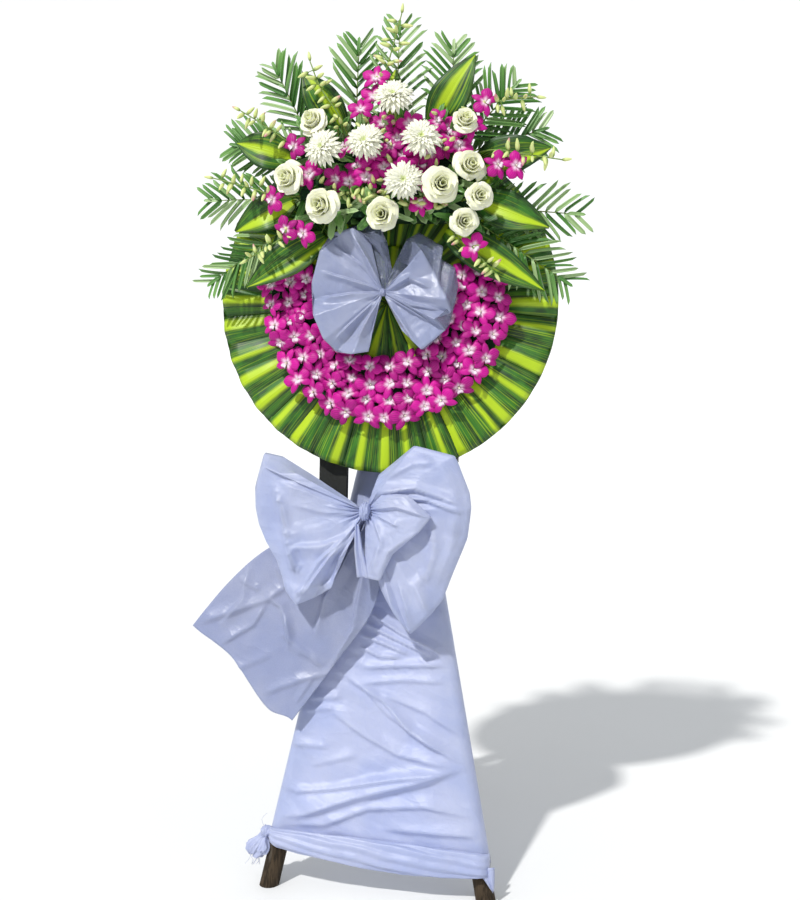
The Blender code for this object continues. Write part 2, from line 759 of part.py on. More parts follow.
def palm_frond(name, right, up, out):
    """A feather-shaped frond: leaflets in two rows along a rib that stands in the foam."""
    tip = at(right, up, out)
    root = foam_root(right, up, out)
    along = (tip - root).normalized()
    length = (tip - root).length
    out_of_foam = (
        (abs(right) - abs(root.x) > 1e-6) * (STEM_DEPTH / max(abs(along.x), 1e-6)),
        (abs(up - root.z) > 1e-6) * (STEM_DEPTH / max(abs(along.z), 1e-6)),
    )
    bare = min(reach for reach in out_of_foam if reach > 0) + 0.022
    pieces = [stem(root, tip, RIB_RADIUS)]
    side = along.cross(at(0, 0, 1)).normalized()
    for number in range(LEAFLET_PAIRS):
        share = number / (LEAFLET_PAIRS - 1)
        place = root + along * (bare + share * (length - bare - 0.012))
        reach = 0.030 + 0.060 * math.sin(math.pi * (0.22 + 0.62 * share))
        for hand in (-1, 1):
            way = (along * (0.62 + 0.5 * share) + side * hand).normalized()
            end = place + way * reach - at(0, 0, 0.003)
            pieces.append(blade(place, end, LEAFLET_WIDTH, LEAFLET_THICKNESS, at(0, 0, 1)))
    last = (tip - along * 0.02, tip + along * 0.03)
    pieces.append(blade(*last, LEAFLET_WIDTH * 0.8, LEAFLET_THICKNESS, at(0, 0, 1)))
    finish(fused(pieces), name, "palm")


def orchid_spray(name, path, blooms, buds):
    """An arching stem of open orchids and buds, standing in the foam."""
    points = [at(*place) for place in path]
    pieces = [stem(points[0], points[1], LEAF_STALK_RADIUS)]
    pieces.append(tube([points[0].lerp(points[1], 0.92)] + points[1:], RIB_RADIUS))
    line = []
    for start, end in zip(points[:-1], points[1:]):
        line += [start.lerp(end, step / 8) for step in range(9)]
    line = [point for point in line if -point.y > FOAM_FRONT + 0.004]
    for place in blooms:
        centre = at(*place)
        facing = at(place[0], place[1] - 0.22, 0.8).normalized()
        nearest = min(line, key=lambda point: (point - centre).length)
        if (nearest - centre).length > 0.004:
            pieces.append(rod(nearest, centre - facing * 0.002, PEDICEL_RADIUS))
        pieces.append(moved(orchid(SPRAY_ORCHID_RADIUS), facing_matrix(centre, facing, place[0] * 5)))
        line.append(centre)
    for place in buds:
        middle = at(*place)
        nearest = min(line, key=lambda point: (point - middle).length)
        way = (middle - nearest).normalized() if (middle - nearest).length > 1e-4 else at(0, 0, 1)
        base, end = nearest - way * 0.003, middle + way * 0.011
        pieces.append(blade(base, end, BUD_WIDTH, BUD_WIDTH, at(0, 0, 1), 0.62))
    finish(fused(pieces), name, "orchid_spray")


def spray_foam():
    """The block that every stem of the spray stands in, with a plain hole for each."""
    low = (-FOAM_HALF_WIDTH, FOAM_BOTTOM, COLLAR_TOP + GAP)
    high = (FOAM_HALF_WIDTH, FOAM_TOP, FOAM_FRONT)
    foam = finish(cuboid(low, high), "spray_foam", "foam", smooth=False)
    cut(foam, [rod(start, end, radius) for start, end, radius in foam_holes])


# Cloth


def loop_of_cloth(outline, knot, back, front, pleats):
    """A puffed loop with its cloth gathered towards the knot."""
    middle = (sum(x for x, _ in outline) / len(outline), sum(y for _, y in outline) / len(outline))
    bm, levels = spun(len(outline), 3)
    rim_out = (back + front) / 2
    for level, share, out in ((1, 0.62, back), (2, 1.0, rim_out), (3, 0.62, front)):
        for vert, (right, up) in zip(levels[level], outline):
            right = middle[0] + share * (right - middle[0])
            up = middle[1] + share * (up - middle[1])
            bearing = math.atan2(up - knot[1], right - knot[0])
            reach = math.hypot(up - knot[1], right - knot[0])
            fold = 0.10 * reach * math.sin(pleats * bearing) * (1 if level == 3 else 0.3)
            vert.co = at(right, up, out + clamp(fold, -0.008, 0.008))
    levels[0][0].co = at(*middle, back)
    levels[4][0].co = at(*middle, front)
    return piece(turned_out(bm), "loop")


def centre_bow():
    """Two fans of cloth gathered in a knot that is pinned to the middle of the disc."""
    pieces = [moved(egg(0.020, 0.046, 0.022), Matrix.Translation(at(*CENTRE_KNOT, 0.0800)))]
    for outline in (CENTRE_LEFT_LOOP, CENTRE_RIGHT_LOOP):
        pieces.append(loop_of_cloth(outline, CENTRE_KNOT, 0.092, 0.122, 11))
    seat = COLLAR_TOP + GAP
    pieces.append(rod(at(*CENTRE_KNOT, seat), at(*CENTRE_KNOT, 0.070), KNOT_TIE_RADIUS, sides=8))
    finish(fused(pieces), "centre_bow", "cloth")


def tail_of_bow():
    """The broad end of the cloth, hanging to the left below the knot."""
    (left, right, low_left, low_right) = [Vector((*corner, 0)) for corner in TAIL_CORNERS]
    edge = Vector((*TAIL_EDGE, 0))

    def place(s, t):
        left_side = left.lerp(low_left, s)
        right_side = right * (1 - s) ** 2 + edge * 2 * s * (1 - s) + low_right * s**2
        flat = left_side.lerp(right_side, t)
        fold = 0.007 * math.sin(5.5 * math.pi * t) * (0.4 + 0.6 * s)
        return at(flat.x, flat.y, 0.008 + fold)

    return sheet(7, 9, place, CLOTH_THICKNESS)


def lower_bow():
    """The large bow under the disc: two loops, the tail and the knot, tied back to the skirt."""
    _, pole_out, pole_radius = front_pole(LOWER_KNOT[1])
    seat = pole_out + skirt_reach(pole_radius) + CLOTH_THICKNESS / 2 + 0.0014
    pieces = [moved(egg(0.026, 0.036, 0.032), Matrix.Translation(at(*LOWER_KNOT, 0.026)))]
    for outline in (LOWER_LEFT_LOOP, LOWER_RIGHT_LOOP):
        pieces.append(loop_of_cloth(outline, LOWER_KNOT, 0.018, 0.074, 9))
    pieces.append(tail_of_bow())
    pieces.append(rod(at(*LOWER_KNOT, seat), at(*LOWER_KNOT, 0.020), KNOT_TIE_RADIUS, sides=8))
    finish(fused(pieces), "lower_bow", "cloth")


def skirt_reach(pole_radius):
    """How far from a pole's axis the middle of the cloth passes it."""
    return pole_radius + CLOTH_THICKNESS / 2 + 0.0010


def skirt_columns(up):
    """The cloth's places (right, out) across the stand at a height: round a pole, over, and round."""
    right, out, radius = front_pole(up)
    reach = skirt_reach(radius)
    half = right - reach - 0.002
    front = [(half * (2 * step / 6 - 1), out + reach) for step in range(7)]
    left = [(0.014 - right, out - reach), (-right - reach, out - reach), (-right - reach, out + reach)]
    return left + front + [(-across, deep) for across, deep in reversed(left)]


def skirt_place(s, t):
    """Where the cloth hangs: tight round the poles, in loose cross folds between them."""
    last = len(skirt_columns(0)) - 1
    column = round(s * last)
    hem = SKIRT_HEM_LEFT + (SKIRT_HEM_RIGHT - SKIRT_HEM_LEFT) * math.sin(math.pi / 2 * s)
    up = SKIRT_TOP + t * (hem - SKIRT_TOP)
    right, out = skirt_columns(up)[column]
    share = math.sin(math.pi * clamp((column - 3) / (last - 6), 0, 1)) * clamp((-0.52 - up) / 0.1, 0, 1)
    out += share * (0.005 + 0.006 * math.sin(14 * t + 1.1 * column))
    return at(right, up, out)


def skirt():
    """The cloth that wraps the two front poles, with its twisted hem and knotted corner."""
    last = len(skirt_columns(0)) - 1
    pieces = [sheet(last, 10, skirt_place, CLOTH_THICKNESS)]
    front = at(0, 0.004, HEM_RADIUS + 0.0005)
    hem = [skirt_place(column / last, 1.0) + front for column in range(2, last - 1)]
    pieces.append(tube(hem, HEM_RADIUS))
    right, out, radius = front_pole(SKIRT_HEM_LEFT)
    corner = at(-right - radius - 0.0205, SKIRT_HEM_LEFT - 0.008, out + 0.004)
    tuft = corner + at(-0.016, -0.030, 0.002)
    pieces.append(moved(egg(0.017, 0.018, 0.015), Matrix.Translation(corner)))
    pieces.append(moved(egg(0.022, 0.018, 0.026), Matrix.Translation(tuft)))
    finish(fused(pieces), "skirt", "cloth")


def set_on_floor():
    """Leans the wreath and brings the middle of its box over the origin."""
    leaning_frame.rotation_euler.x = -LEAN
    leaning_frame.location.z = DISC_HEIGHT
    bpy.context.view_layer.update()
    graph = bpy.context.evaluated_depsgraph_get()
    corners = []
    for obj in parts.objects:
        if obj.type == "MESH":
            shown = obj.evaluated_get(graph)
            corners += [shown.matrix_world @ vert.co for vert in shown.data.vertices]
    for axis in (0, 1):
        along = [corner[axis] for corner in corners]
        leaning_frame.location[axis] = -(min(along) + max(along)) / 2


stand()
leaf_collar()
centre_leaves()
orchid_bank()
for number, place in enumerate(ROSES, 1):
    flower_head(f"rose_{number}", place, rose, "rose")
for number, place in enumerate(CHRYSANTHEMUMS, 1):
    flower_head(f"chrysanthemum_{number}", place, chrysanthemum, "chrysanthemum")
for number, (base, tip, width) in enumerate(STRIPED_LEAVES, 1):
    striped_leaf(f"striped_leaf_{number}", base, tip, width)
for number, (right, up, out) in enumerate(PALM_FRONDS, 1):
    palm_frond(f"palm_frond_{number}", right, up, out)
for number, (path, blooms, buds) in enumerate(ORCHID_SPRAYS, 1):
    orchid_spray(f"orchid_spray_{number}", path, blooms, buds)
spray_foam()
centre_bow()
lower_bow()
skirt()
set_on_floor()
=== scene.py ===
"""A funeral wreath on a draped stand: the finish of every piece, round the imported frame.

Blender 4.5. Metres, +Z up, the front faces -Y. Places on the wreath are (right, up, out) in a frame
that leans back with the disc. Its origin is the middle of the disc's face, and out is the distance
in front of the board. Tables inside mm() are in millimetres.
"""

import math
import random

import bmesh
import bpy
from bpy.props import FloatProperty, FloatVectorProperty, IntProperty, PointerProperty
from mathutils import Matrix, Vector, noise


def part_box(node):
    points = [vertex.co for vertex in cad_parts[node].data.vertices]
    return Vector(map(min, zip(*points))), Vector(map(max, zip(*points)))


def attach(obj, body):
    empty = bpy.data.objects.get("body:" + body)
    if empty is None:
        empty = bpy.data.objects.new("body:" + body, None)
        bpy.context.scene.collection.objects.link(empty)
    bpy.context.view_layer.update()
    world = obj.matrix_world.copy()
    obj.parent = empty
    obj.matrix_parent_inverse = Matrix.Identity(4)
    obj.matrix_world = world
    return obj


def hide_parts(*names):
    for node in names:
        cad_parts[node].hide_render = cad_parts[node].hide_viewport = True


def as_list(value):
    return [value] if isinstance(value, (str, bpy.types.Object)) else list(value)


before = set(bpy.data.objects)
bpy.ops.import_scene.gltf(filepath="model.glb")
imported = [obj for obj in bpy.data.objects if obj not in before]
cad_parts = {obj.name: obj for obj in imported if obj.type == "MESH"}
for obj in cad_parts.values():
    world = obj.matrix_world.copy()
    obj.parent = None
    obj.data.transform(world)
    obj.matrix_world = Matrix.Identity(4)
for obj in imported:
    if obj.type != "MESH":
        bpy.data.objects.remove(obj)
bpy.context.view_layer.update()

bl_info = {
    "name": "Funeral Wreath",
    "version": (1, 0, 0),
    "blender": (4, 5, 0),
    "location": "View3D > Sidebar > Wreath",
    "description": "Dresses the frame of a standing funeral wreath in leaves, flowers and cloth",
    "category": "Object",
}

# The leaning frame, from the board's own box
LEAN = math.radians(8)
BOARD_THICKNESS = 0.020
BOARD_LOW, BOARD_HIGH = (Vector(corner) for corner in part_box("wreath_board"))
LEANING = (
    Matrix.Translation((BOARD_LOW + BOARD_HIGH) / 2)
    @ Matrix.Rotation(-LEAN, 4, "X")
    @ Matrix.Translation((0, -BOARD_THICKNESS / 2, 0))
)

# Leaf-covered disc
COLLAR_INNER = 0.122
COLLAR_OUTER = 0.360
CENTRE_RADIUS = 0.1195
LEAF_OUT = 0.0045

# Orchid bank, in degrees from +x, anticlockwise
BANK_START = 157
BANK_END = 378
BANK_ROWS = (0.141, 0.174, 0.207, 0.241)
BANK_MIDDLE = 0.198
BANK_OUT = 0.046

# Walls of blades: metres for leaves, and a share of the finished size for shapes that are copied
LEAF_WALL = 0.0008
PETAL_WALL = 0.014
RAY_WALL = 0.012
LEAFLET_WALL = 0.006

# Sizes that the bud shape is scaled by, and the length of the buds tucked in
BUD_WIDTH = 0.0175
BUD_LENGTH = 0.026
TUCKED_BUD_LENGTH = 0.024

# Radii of stems, twigs and threads
HEAD_STEM = 0.0026
SPRAY_STEM = 0.0021
LEAF_STALK = 0.0022
TWIG = 0.0010
THREAD = 0.0004

# Foam block of the spray, and the height that its flowers turn away from
SPRAY_MIDDLE = 0.22
FOAM_HALF_WIDTH = 0.170
FOAM_BOTTOM = 0.165
FOAM_TOP = 0.325
FOAM_FRONT = 0.105
STEM_DEPTH = 0.028


def mm(table):
    """A table given in millimetres, in metres."""
    return tuple(mm(part) for part in table) if isinstance(table, tuple) else table / 1000


# Flower heads, as (right, up, out, radius)
ROSES = mm((
    (-134, 350, 165, 31), (-183, 236, 165, 34), (-113, 180, 168, 36), (134, 218, 180, 37),
    (188, 260, 155, 33), (208, 198, 165, 28), (178, 148, 160, 29), (12, 162, 165, 36), (176, 350, 160, 27),
))
CHRYSANTHEMUMS = mm((
    (33, 391, 180, 42), (-106, 290, 185, 41), (-22, 303, 180, 40), (91, 309, 180, 42), (57, 226, 180, 41),
))

# Striped leaves, as the base and the tip (right, up, out) and the width
STRIPED_LEAVES = mm((
    ((100, 344, 92), (186, 492, 102), 80),
    ((-87, 347, 92), (-172, 464, 100), 74),
    ((20, 345, 92), (22, 470, 94), 52),
    ((-190, 290, 88), (-312, 322, 90), 80),
    ((190, 275, 88), (342, 306, 90), 84),
    ((-190, 205, 80), (-312, 138, 88), 76),
    ((190, 205, 80), (342, 146, 88), 80),
    ((-120, 132, 76), (-286, 22, 86), 76),
    ((130, 140, 76), (336, 18, 86), 76),
))

# Palm fronds, as the tip (right, up) and how far out of the board the frond lies
PALM_FRONDS = mm((
    (-66, 550, 46), (-248, 498, 62), (134, 542, 46), (276, 452, 62), (-342, 330, 46), (-390, 208, 62),
    (412, 176, 62), (-376, 26, 70), (390, 30, 70), (334, 356, 46), (22, 580, 62),
))

# Orchid sprays: the stem's places from its root to its tip, then its open blooms and its buds
ORCHID_SPRAYS = mm((
    (
        ((-52, 294, 80), (-30, 372, 112), (2, 440, 126), (36, 572, 122)),
        ((-10, 440, 138), (-14, 404, 134)),
        ((38, 584, 122), (16, 560, 120), (48, 548, 122), (4, 522, 120), (44, 512, 124), (-10, 486, 122),
         (30, 476, 126)),
    ),
    (
        ((-62, 270, 80), (-78, 352, 136), (-126, 424, 132), (-150, 478, 128)),
        (),
        ((-152, 490, 128), (-134, 466, 128), (-164, 452, 130), (-112, 436, 130), (-146, 424, 134)),
    ),
    (
        ((-142, 272, 80), (-194, 316, 124), (-246, 352, 128), (-296, 382, 120)),
        ((-178, 304, 136),),
        ((-306, 388, 120), (-276, 382, 122), (-282, 356, 122), (-250, 370, 126), (-226, 326, 126)),
    ),
    (
        ((-142, 214, 80), (-212, 206, 122), (-270, 222, 128), (-352, 244, 120)),
        ((-222, 196, 132),),
        ((-362, 246, 120), (-330, 254, 120), (-318, 222, 122), (-290, 242, 126), (-264, 206, 126),
         (-246, 236, 126)),
    ),
    (
        ((-138, 196, 76), (-168, 148, 116), (-214, 112, 124), (-276, 78, 112)),
        ((-156, 128, 130), (-192, 136, 132)),
        ((-286, 72, 110), (-262, 98, 114), (-248, 78, 118), (-234, 116, 120)),
    ),
    (
        ((128, 296, 80), (176, 368, 120), (240, 392, 128), (312, 402, 118)),
        ((212, 388, 138), (132, 338, 128)),
        ((322, 400, 118), (298, 418, 118), (286, 384, 120), (262, 410, 124), (246, 374, 126)),
    ),
    (
        ((142, 282, 76), (222, 296, 120), (290, 286, 128), (366, 276, 118)),
        ((240, 264, 134), (276, 262, 132)),
        ((376, 276, 118), (348, 292, 118), (334, 266, 120), (306, 302, 124), (258, 308, 124)),
    ),
    (
        ((116, 196, 76), (150, 134, 114), (192, 96, 126), (236, 52, 112)),
        ((196, 100, 136),),
        ((242, 42, 110), (224, 50, 112), (240, 70, 114), (212, 66, 116)),
    ),
    (
        ((10, 270, 80), (24, 276, 122), (44, 288, 128), (54, 340, 128)),
        ((36, 318, 136), (60, 348, 134), (48, 284, 138), (4, 350, 132), (10, 260, 136), (-26, 240, 138),
         (-62, 232, 136), (88, 266, 136), (100, 238, 132)),
        ((-84, 196, 134), (-62, 190, 138), (-40, 200, 138), (-18, 206, 138), (92, 188, 134),
         (78, 176, 132), (-72, 216, 140)),
    ),
))

# Cloth, as (right, up)
CENTRE_KNOT = (0.006, 0.012)
LOWER_KNOT = (-0.030, -0.440)
TAIL_LEFT = mm(((-40, -452), (-150, -480), (-255, -534), (-336, -608), (-412, -702)))
TAIL_END = ((0, 0), (0.36, 0.013), (0.76, -0.024), (1, 0))
TAIL_RIGHT = mm(((-14, -456), (4, -500), (4, -560), (-20, -660), (-92, -766), (-186, -896)))


def at(right, up, out):
    """A place on the wreath as a point of the leaning frame."""
    return Vector((right, -out, up))


def round_disc(angle, reach, out):
    """A place at an angle and a distance from the disc's middle."""
    return at(reach * math.cos(angle), reach * math.sin(angle), out)


def clamp(value, low=0.0, high=1.0):
    return max(low, min(high, value))


def ease(value, low=0.0, high=1.0):
    """A smooth step from 0 at low to 1 at high."""
    share = clamp((value - low) / (high - low))
    return share * share * (3 - 2 * share)


def ripple(*place):
    """Smooth noise from about -1 to 1."""
    return noise.noise(Vector(place))


def crisp(turns):
    """A wave of straight slopes with sharp crests, from -1 to 1, once a turn."""
    return 1 - 2 * abs((turns % 1.0) * 2 - 1)


def linear(red, green, blue):
    """A colour given in display steps of 0 to 255 as scene colour."""
    return tuple((((step / 255) + 0.055) / 1.055) ** 2.4 for step in (red, green, blue))


def facing(place, towards, roll=0.0, size=(1, 1, 1)):
    """Stands a shape's +Z along towards, at place, rolled about it and sized."""
    turn = towards.to_track_quat("Z", "Y").to_matrix().to_4x4()
    return Matrix.Translation(place) @ turn @ Matrix.Rotation(roll, 4, "Z") @ Matrix.Diagonal((*size, 1))


class Line:
    """A line through points, read by its share of the length."""

    def __init__(self, points):
        self.points = points
        self.reach = [0.0]
        for start, end in zip(points, points[1:]):
            self.reach.append(self.reach[-1] + (end - start).length)

    def point(self, share):
        goal = clamp(share) * self.reach[-1]
        last = len(self.reach) - 1
        number = next((number for number in range(1, last) if goal <= self.reach[number]), last)
        start, end = self.reach[number - 1], self.reach[number]
        part = clamp((goal - start) / (end - start)) if end > start else 0
        return self.points[number - 1].lerp(self.points[number], part)

    __call__ = point


class Route(Line):
    """A smooth line through a few places."""

    steps = 10

    def __init__(self, places):
        places = [Vector((*place, 0)) if len(place) == 2 else Vector(place) for place in places]
        ends = [2 * places[0] - places[1], *places, 2 * places[-1] - places[-2]]
        line = [places[0]]
        for before, start, end, after in zip(ends, ends[1:], ends[2:], ends[3:]):
            for step in range(1, self.steps + 1):
                share = step / self.steps
                curve = 2 * start + (end - before) * share
                curve += (2 * before - 5 * start + 4 * end - after) * share**2
                curve += (3 * start - before - 3 * end + after) * share**3
                line.append(0.5 * curve)
        super().__init__(line)


# Settings


def colour_setting(name, description, colour):
    return FloatVectorProperty(
        name=name, description=description, subtype="COLOR", size=3, min=0, max=1, default=linear(*colour)
    )


def count_setting(name, description, default, low, high):
    return IntProperty(name=name, description=description, default=default, min=low, max=high)


def length_setting(name, description, default):
    return FloatProperty(name=name, description=description, default=default, unit="LENGTH")


def angle_setting(name, description, degrees):
    return FloatProperty(name=name, description=description, default=math.radians(degrees), subtype="ANGLE")


def strength_setting(name, description, default):
    return FloatProperty(name=name, description=description, default=default, min=0)


class FoliageSettings(bpy.types.PropertyGroup):
    """Sizes and colours of the leaves and fronds."""

    leaf_green: colour_setting("Leaf green", "The striped leaves' main green", (46, 110, 14))
    # Leaf shade is also painted along the leaves' edges as shade.
    leaf_shade: colour_setting("Leaf shade", "The striped leaves' darkest green", (12, 52, 6))
    leaf_stripe: colour_setting("Leaf stripe", "The striped leaves' yellow-green", (184, 214, 16))
    palm_green: colour_setting("Palm green", "The leaflets' green", (112, 166, 76))
    # Palm shade is painted shade at the leaflets' foot.
    palm_shade: colour_setting("Palm shade", "The leaflets' green near the rib", (50, 112, 28))
    # Palm pale is the ribs' own colour, and is also painted on some leaflets as the sky's reflection.
    palm_pale_and_sheen: colour_setting("Palm pale", "The palest leaflets and the ribs", (190, 212, 160))
    collar_leaves: count_setting("Collar leaves", "Leaves round the disc", 36, 12, 72)
    centre_leaves: count_setting("Centre leaves", "Leaves over the disc's middle", 14, 6, 36)
    leaflet_pairs: count_setting("Leaflet pairs", "Pairs of leaflets on a frond", 12, 6, 30)
    leaflet_width: length_setting("Leaflet width", "The widest part of a leaflet", 0.0102)


class FlowerSettings(bpy.types.PropertyGroup):
    """Sizes and colours of the flowers."""

    orchid: colour_setting("Orchid", "The orchids' petals", (208, 6, 152))
    # Orchid shade is the veins' own colour, and is also painted on some blooms as shade.
    orchid_deep: colour_setting("Orchid shade", "The orchids' darker veins and blooms", (142, 0, 106))
    orchid_throat: colour_setting("Orchid throat", "The orchids' star-shaped middle", (246, 226, 242))
    rose: colour_setting("Rose", "The roses' petals", (250, 250, 226))
    # Rose heart is partly the inner petals' own green, partly painted shade deep in the bloom.
    rose_heart: colour_setting("Rose heart", "The roses' inner petals and outer base", (232, 238, 184))
    chrysanthemum: colour_setting("Chrysanthemum", "The chrysanthemums' rays", (252, 252, 234))
    chrysanthemum_heart: colour_setting("Chrysanthemum heart", "Their young florets", (206, 222, 124))
    bud: colour_setting("Bud", "The orchids' closed buds", (214, 226, 146))
    stem: colour_setting("Stem", "Stems and pedicels", (112, 146, 56))
    orchid_radius: length_setting("Orchid radius", "Half the width of an open orchid", 0.0330)
    bank_spacing: length_setting("Bank spacing", "Between the blooms of one row", 0.0418)


class ClothSettings(bpy.types.PropertyGroup):
    """Thickness and colours of the cloth."""

    cloth: colour_setting("Cloth", "The cloth in the light", (174, 181, 211))
    # Cloth shade also gives the painted shade on the sheer cloth's back layers.
    cloth_shade: colour_setting("Cloth shade", "The cloth's cooler patches", (160, 170, 207))
    thickness: length_setting("Thickness", "The cloth's thickness", 0.0007)


class StandSettings(bpy.types.PropertyGroup):
    """Colours of the stand and of the board."""

    bark: colour_setting("Bark", "The poles' bark", (70, 58, 44))
    # The battens and header are coloured near-black all over.
    batten: colour_setting("Batten", "The painted battens", (22, 24, 20))
    board: colour_setting("Board", "The board's raw back", (176, 146, 104))
    cord: colour_setting("Cord", "The lashing", (172, 150, 112))
    foam: colour_setting("Foam", "The flower foam", (24, 62, 34))


class StageSettings(bpy.types.PropertyGroup):
    """Floor, light and camera."""

    floor: colour_setting("Floor", "The floor and the sweep behind", (236, 237, 238))
    sun: strength_setting("Sun", "Strength of the sun", 2.7)
    sky: strength_setting("Sky", "Strength of the even sky", 0.60)
    camera_distance: length_setting("Camera distance", "Along the floor, from the disc", 2.98)
    camera_height: length_setting("Camera height", "Over the floor", 1.38)
    camera_azimuth: angle_setting("Camera azimuth", "How far the camera stands to the right", 10)
    camera_yaw: angle_setting("Camera yaw", "Where the camera looks", 9.51)
    camera_pitch: angle_setting("Camera pitch", "How far it looks down", 8.5)


# Materials


def plug(tree, socket, value):
    """Links an output to the socket, or sets the socket's value."""
    value = getattr(value, "socket", value)
    if isinstance(value, bpy.types.NodeSocket):
        tree.links.new(value, socket)
    elif socket.type == "RGBA" and len(value) == 3:
        socket.default_value = (*value, 1)
    else:
        socket.default_value = value


def add_node(tree, kind, settings=None, sockets=None):
    """A new node with its settings, and with its sockets set or linked."""
    made = tree.nodes.new(kind)
    for name, value in (settings or {}).items():
        setattr(made, name, value)
    for key, value in (sockets or {}).items():
        plug(tree, made.inputs[key], value)
    return made


def maths(operation):
    """A method of Wire that adds a Math node."""
    return lambda self, *others: self.reckon(operation, self, *others)


class Wire:
    """A node's output that takes part in expressions, each of which adds the nodes it needs."""

    def __init__(self, recipe, socket):
        self.recipe = recipe
        self.socket = socket

    def reckon(self, operation, *values):
        return self.recipe.node("ShaderNodeMath", {"operation": operation}, dict(enumerate(values)))

    __add__ = __radd__ = maths("ADD")
    __mul__ = __rmul__ = maths("MULTIPLY")
    __sub__ = maths("SUBTRACT")
    __pow__ = maths("POWER")
    __abs__ = maths("ABSOLUTE")
    sine = maths("SINE")
    fraction = maths("FRACT")
    most = maths("MAXIMUM")

    def __rsub__(self, other):
        return self.reckon("SUBTRACT", other, self)

    def between(self, low, high):
        """A smooth mask: 0 under low, 1 over high."""
        settings = {"interpolation_type": "SMOOTHSTEP"}
        return self.recipe.node("ShaderNodeMapRange", settings, {0: self, 1: low, 2: high})


class Recipe:
    """Builds one finish on a Principled shader."""

    def __init__(self, name, **fixed):
        self.made = bpy.data.materials.new(name)
        self.made.use_nodes = True
        self.tree = self.made.node_tree
        self.shader = self.tree.nodes["Principled BSDF"]
        for socket, value in fixed.items():
            self.wear(socket.replace("_", " "), value)

    def node(self, kind, settings=None, sockets=None, output=0):
        return Wire(self, add_node(self.tree, kind, settings, sockets).outputs[output])

    def attributes(self, *names):
        return [self.node("ShaderNodeAttribute", {"attribute_name": name}, output=2) for name in names]

    def place(self):
        return self.node("ShaderNodeTexCoord", output=3)

    def stretched(self, vector, x, y, z):
        return self.node("ShaderNodeMapping", None, {"Vector": vector, "Scale": (x, y, z)})

    def vector(self, x, y, z):
        return self.node("ShaderNodeCombineXYZ", None, {0: x, 1: y, 2: z})

    def speckle(self, vector, scale, detail=3.0, rough=0.55):
        sockets = {"Vector": vector, "Scale": scale, "Detail": detail, "Roughness": rough}
        return self.node("ShaderNodeTexNoise", None, sockets)

    def grain(self, surface, wide, long, scale):
        """Speckles that follow a blade, stretched along it, and differ from copy to copy."""
        along, across, tone = surface
        return self.speckle(self.vector(across * wide + tone * 19, along * long, tone * 7), scale)

    def cells(self, vector, scale):
        return self.node("ShaderNodeTexVoronoi", None, {"Vector": vector, "Scale": scale})

    def mix(self, factor, first, second):
        return self.node("ShaderNodeMix", {"data_type": "RGBA"}, {0: factor, 6: first, 7: second}, 2)

    def wear(self, socket, value):
        plug(self.tree, self.shader.inputs[socket], value)

    def finished(self, colour, roughness, height=None, strength=0.0, distance=0.0):
        """Wires colour, roughness and bump to the shader, and gives the material."""
        self.wear("Base Color", colour)
        self.wear("Roughness", roughness)
        if height is not None:
            sockets = {"Height": height, "Strength": strength, "Distance": distance}
            self.wear("Normal", self.node("ShaderNodeBump", None, sockets))
        return self.made


def dimmed(colour, share):
    return tuple(share * part for part in colour)


def striped_leaf_finish(look):
    """A glossy blade with a broad yellow-green stripe, fine veins, a pale midrib and painted shade along its
    edges.
    """
    recipe = Recipe("striped_leaf", Coat_Weight=0.20, Coat_Roughness=0.32, Specular_IOR_Level=0.42)
    along, across, tone = recipe.attributes("along", "across", "tone")
    hairs = recipe.speckle(recipe.vector(across * 8 + tone * 13, along * 0.5, tone * 5), 2.0, 2.0)
    patch = recipe.speckle(recipe.vector(across * 1.3, along * 2.4 + tone * 7, tone * 3), 1.8, 2.0)
    wander = recipe.speckle(recipe.vector(along * 1.4 + tone * 9, tone * 17, 0.0), 1.5) - 0.5
    width = (tone * 7.3).fraction() * 0.20 + 0.06
    away = abs(across - (tone - 0.5) * 1.1 + wander * 0.30)
    stripe = 1 - (away - width + hairs * 0.36).between(0.10, 0.34)
    green = recipe.mix(patch.between(0.30, 0.62), look.leaf_shade, look.leaf_green)
    green = recipe.mix(hairs.between(0.50, 0.66) * 0.40, green, look.leaf_stripe)
    streaked = recipe.mix(stripe * 0.92, green, look.leaf_stripe)
    rib = 1 - abs(across).between(0.0, 0.05)
    # Painted shade: each leaf turns darker towards its edges, as if its pleats turned away from the light.
    edge_shaded = recipe.mix(abs(across).between(0.55, 1.0) * 0.75, streaked, look.leaf_shade)
    colour = recipe.mix(rib * 0.40, edge_shaded, look.leaf_stripe)
    veins = (across * 80).sine() * 0.35 + hairs * 0.8 + rib * 1.6
    return recipe.finished(colour, 0.38 + patch * 0.18, veins, 0.35, 0.0012)


def palm_finish(look):
    """A satin leaflet with a fold down its middle, lighter towards the tip: painted shade darkens its foot by
    the rib, and a painted sky reflection makes some copies paler.
    """
    recipe = Recipe("palm", Coat_Weight=0.35, Coat_Roughness=0.30)
    along, across, tone = recipe.attributes("along", "across", "tone")
    grain = recipe.grain((along, across, tone), 4, 3, 2.0)
    # Painted shade: darker at the leaflet's foot by the rib, and on some copies by tone.
    share = (along * 0.6 + tone * 0.7 + grain * 0.3).between(0.20, 1.25)
    base = recipe.mix(share, look.palm_shade, look.palm_green)
    # Painted reflection: some copies are paler, standing in for the sky on their gloss.
    pale = recipe.mix(tone.between(0.40, 1.0) * 0.75, base, look.palm_pale_and_sheen)
    rib = 1 - abs(across).between(0.0, 0.14)
    colour = recipe.mix(rib * 0.25, pale, look.palm_pale_and_sheen)
    return recipe.finished(colour, 0.36 + grain * 0.2, (across * 26).sine() * 0.5 + rib * 1.5, 0.3, 0.0008)


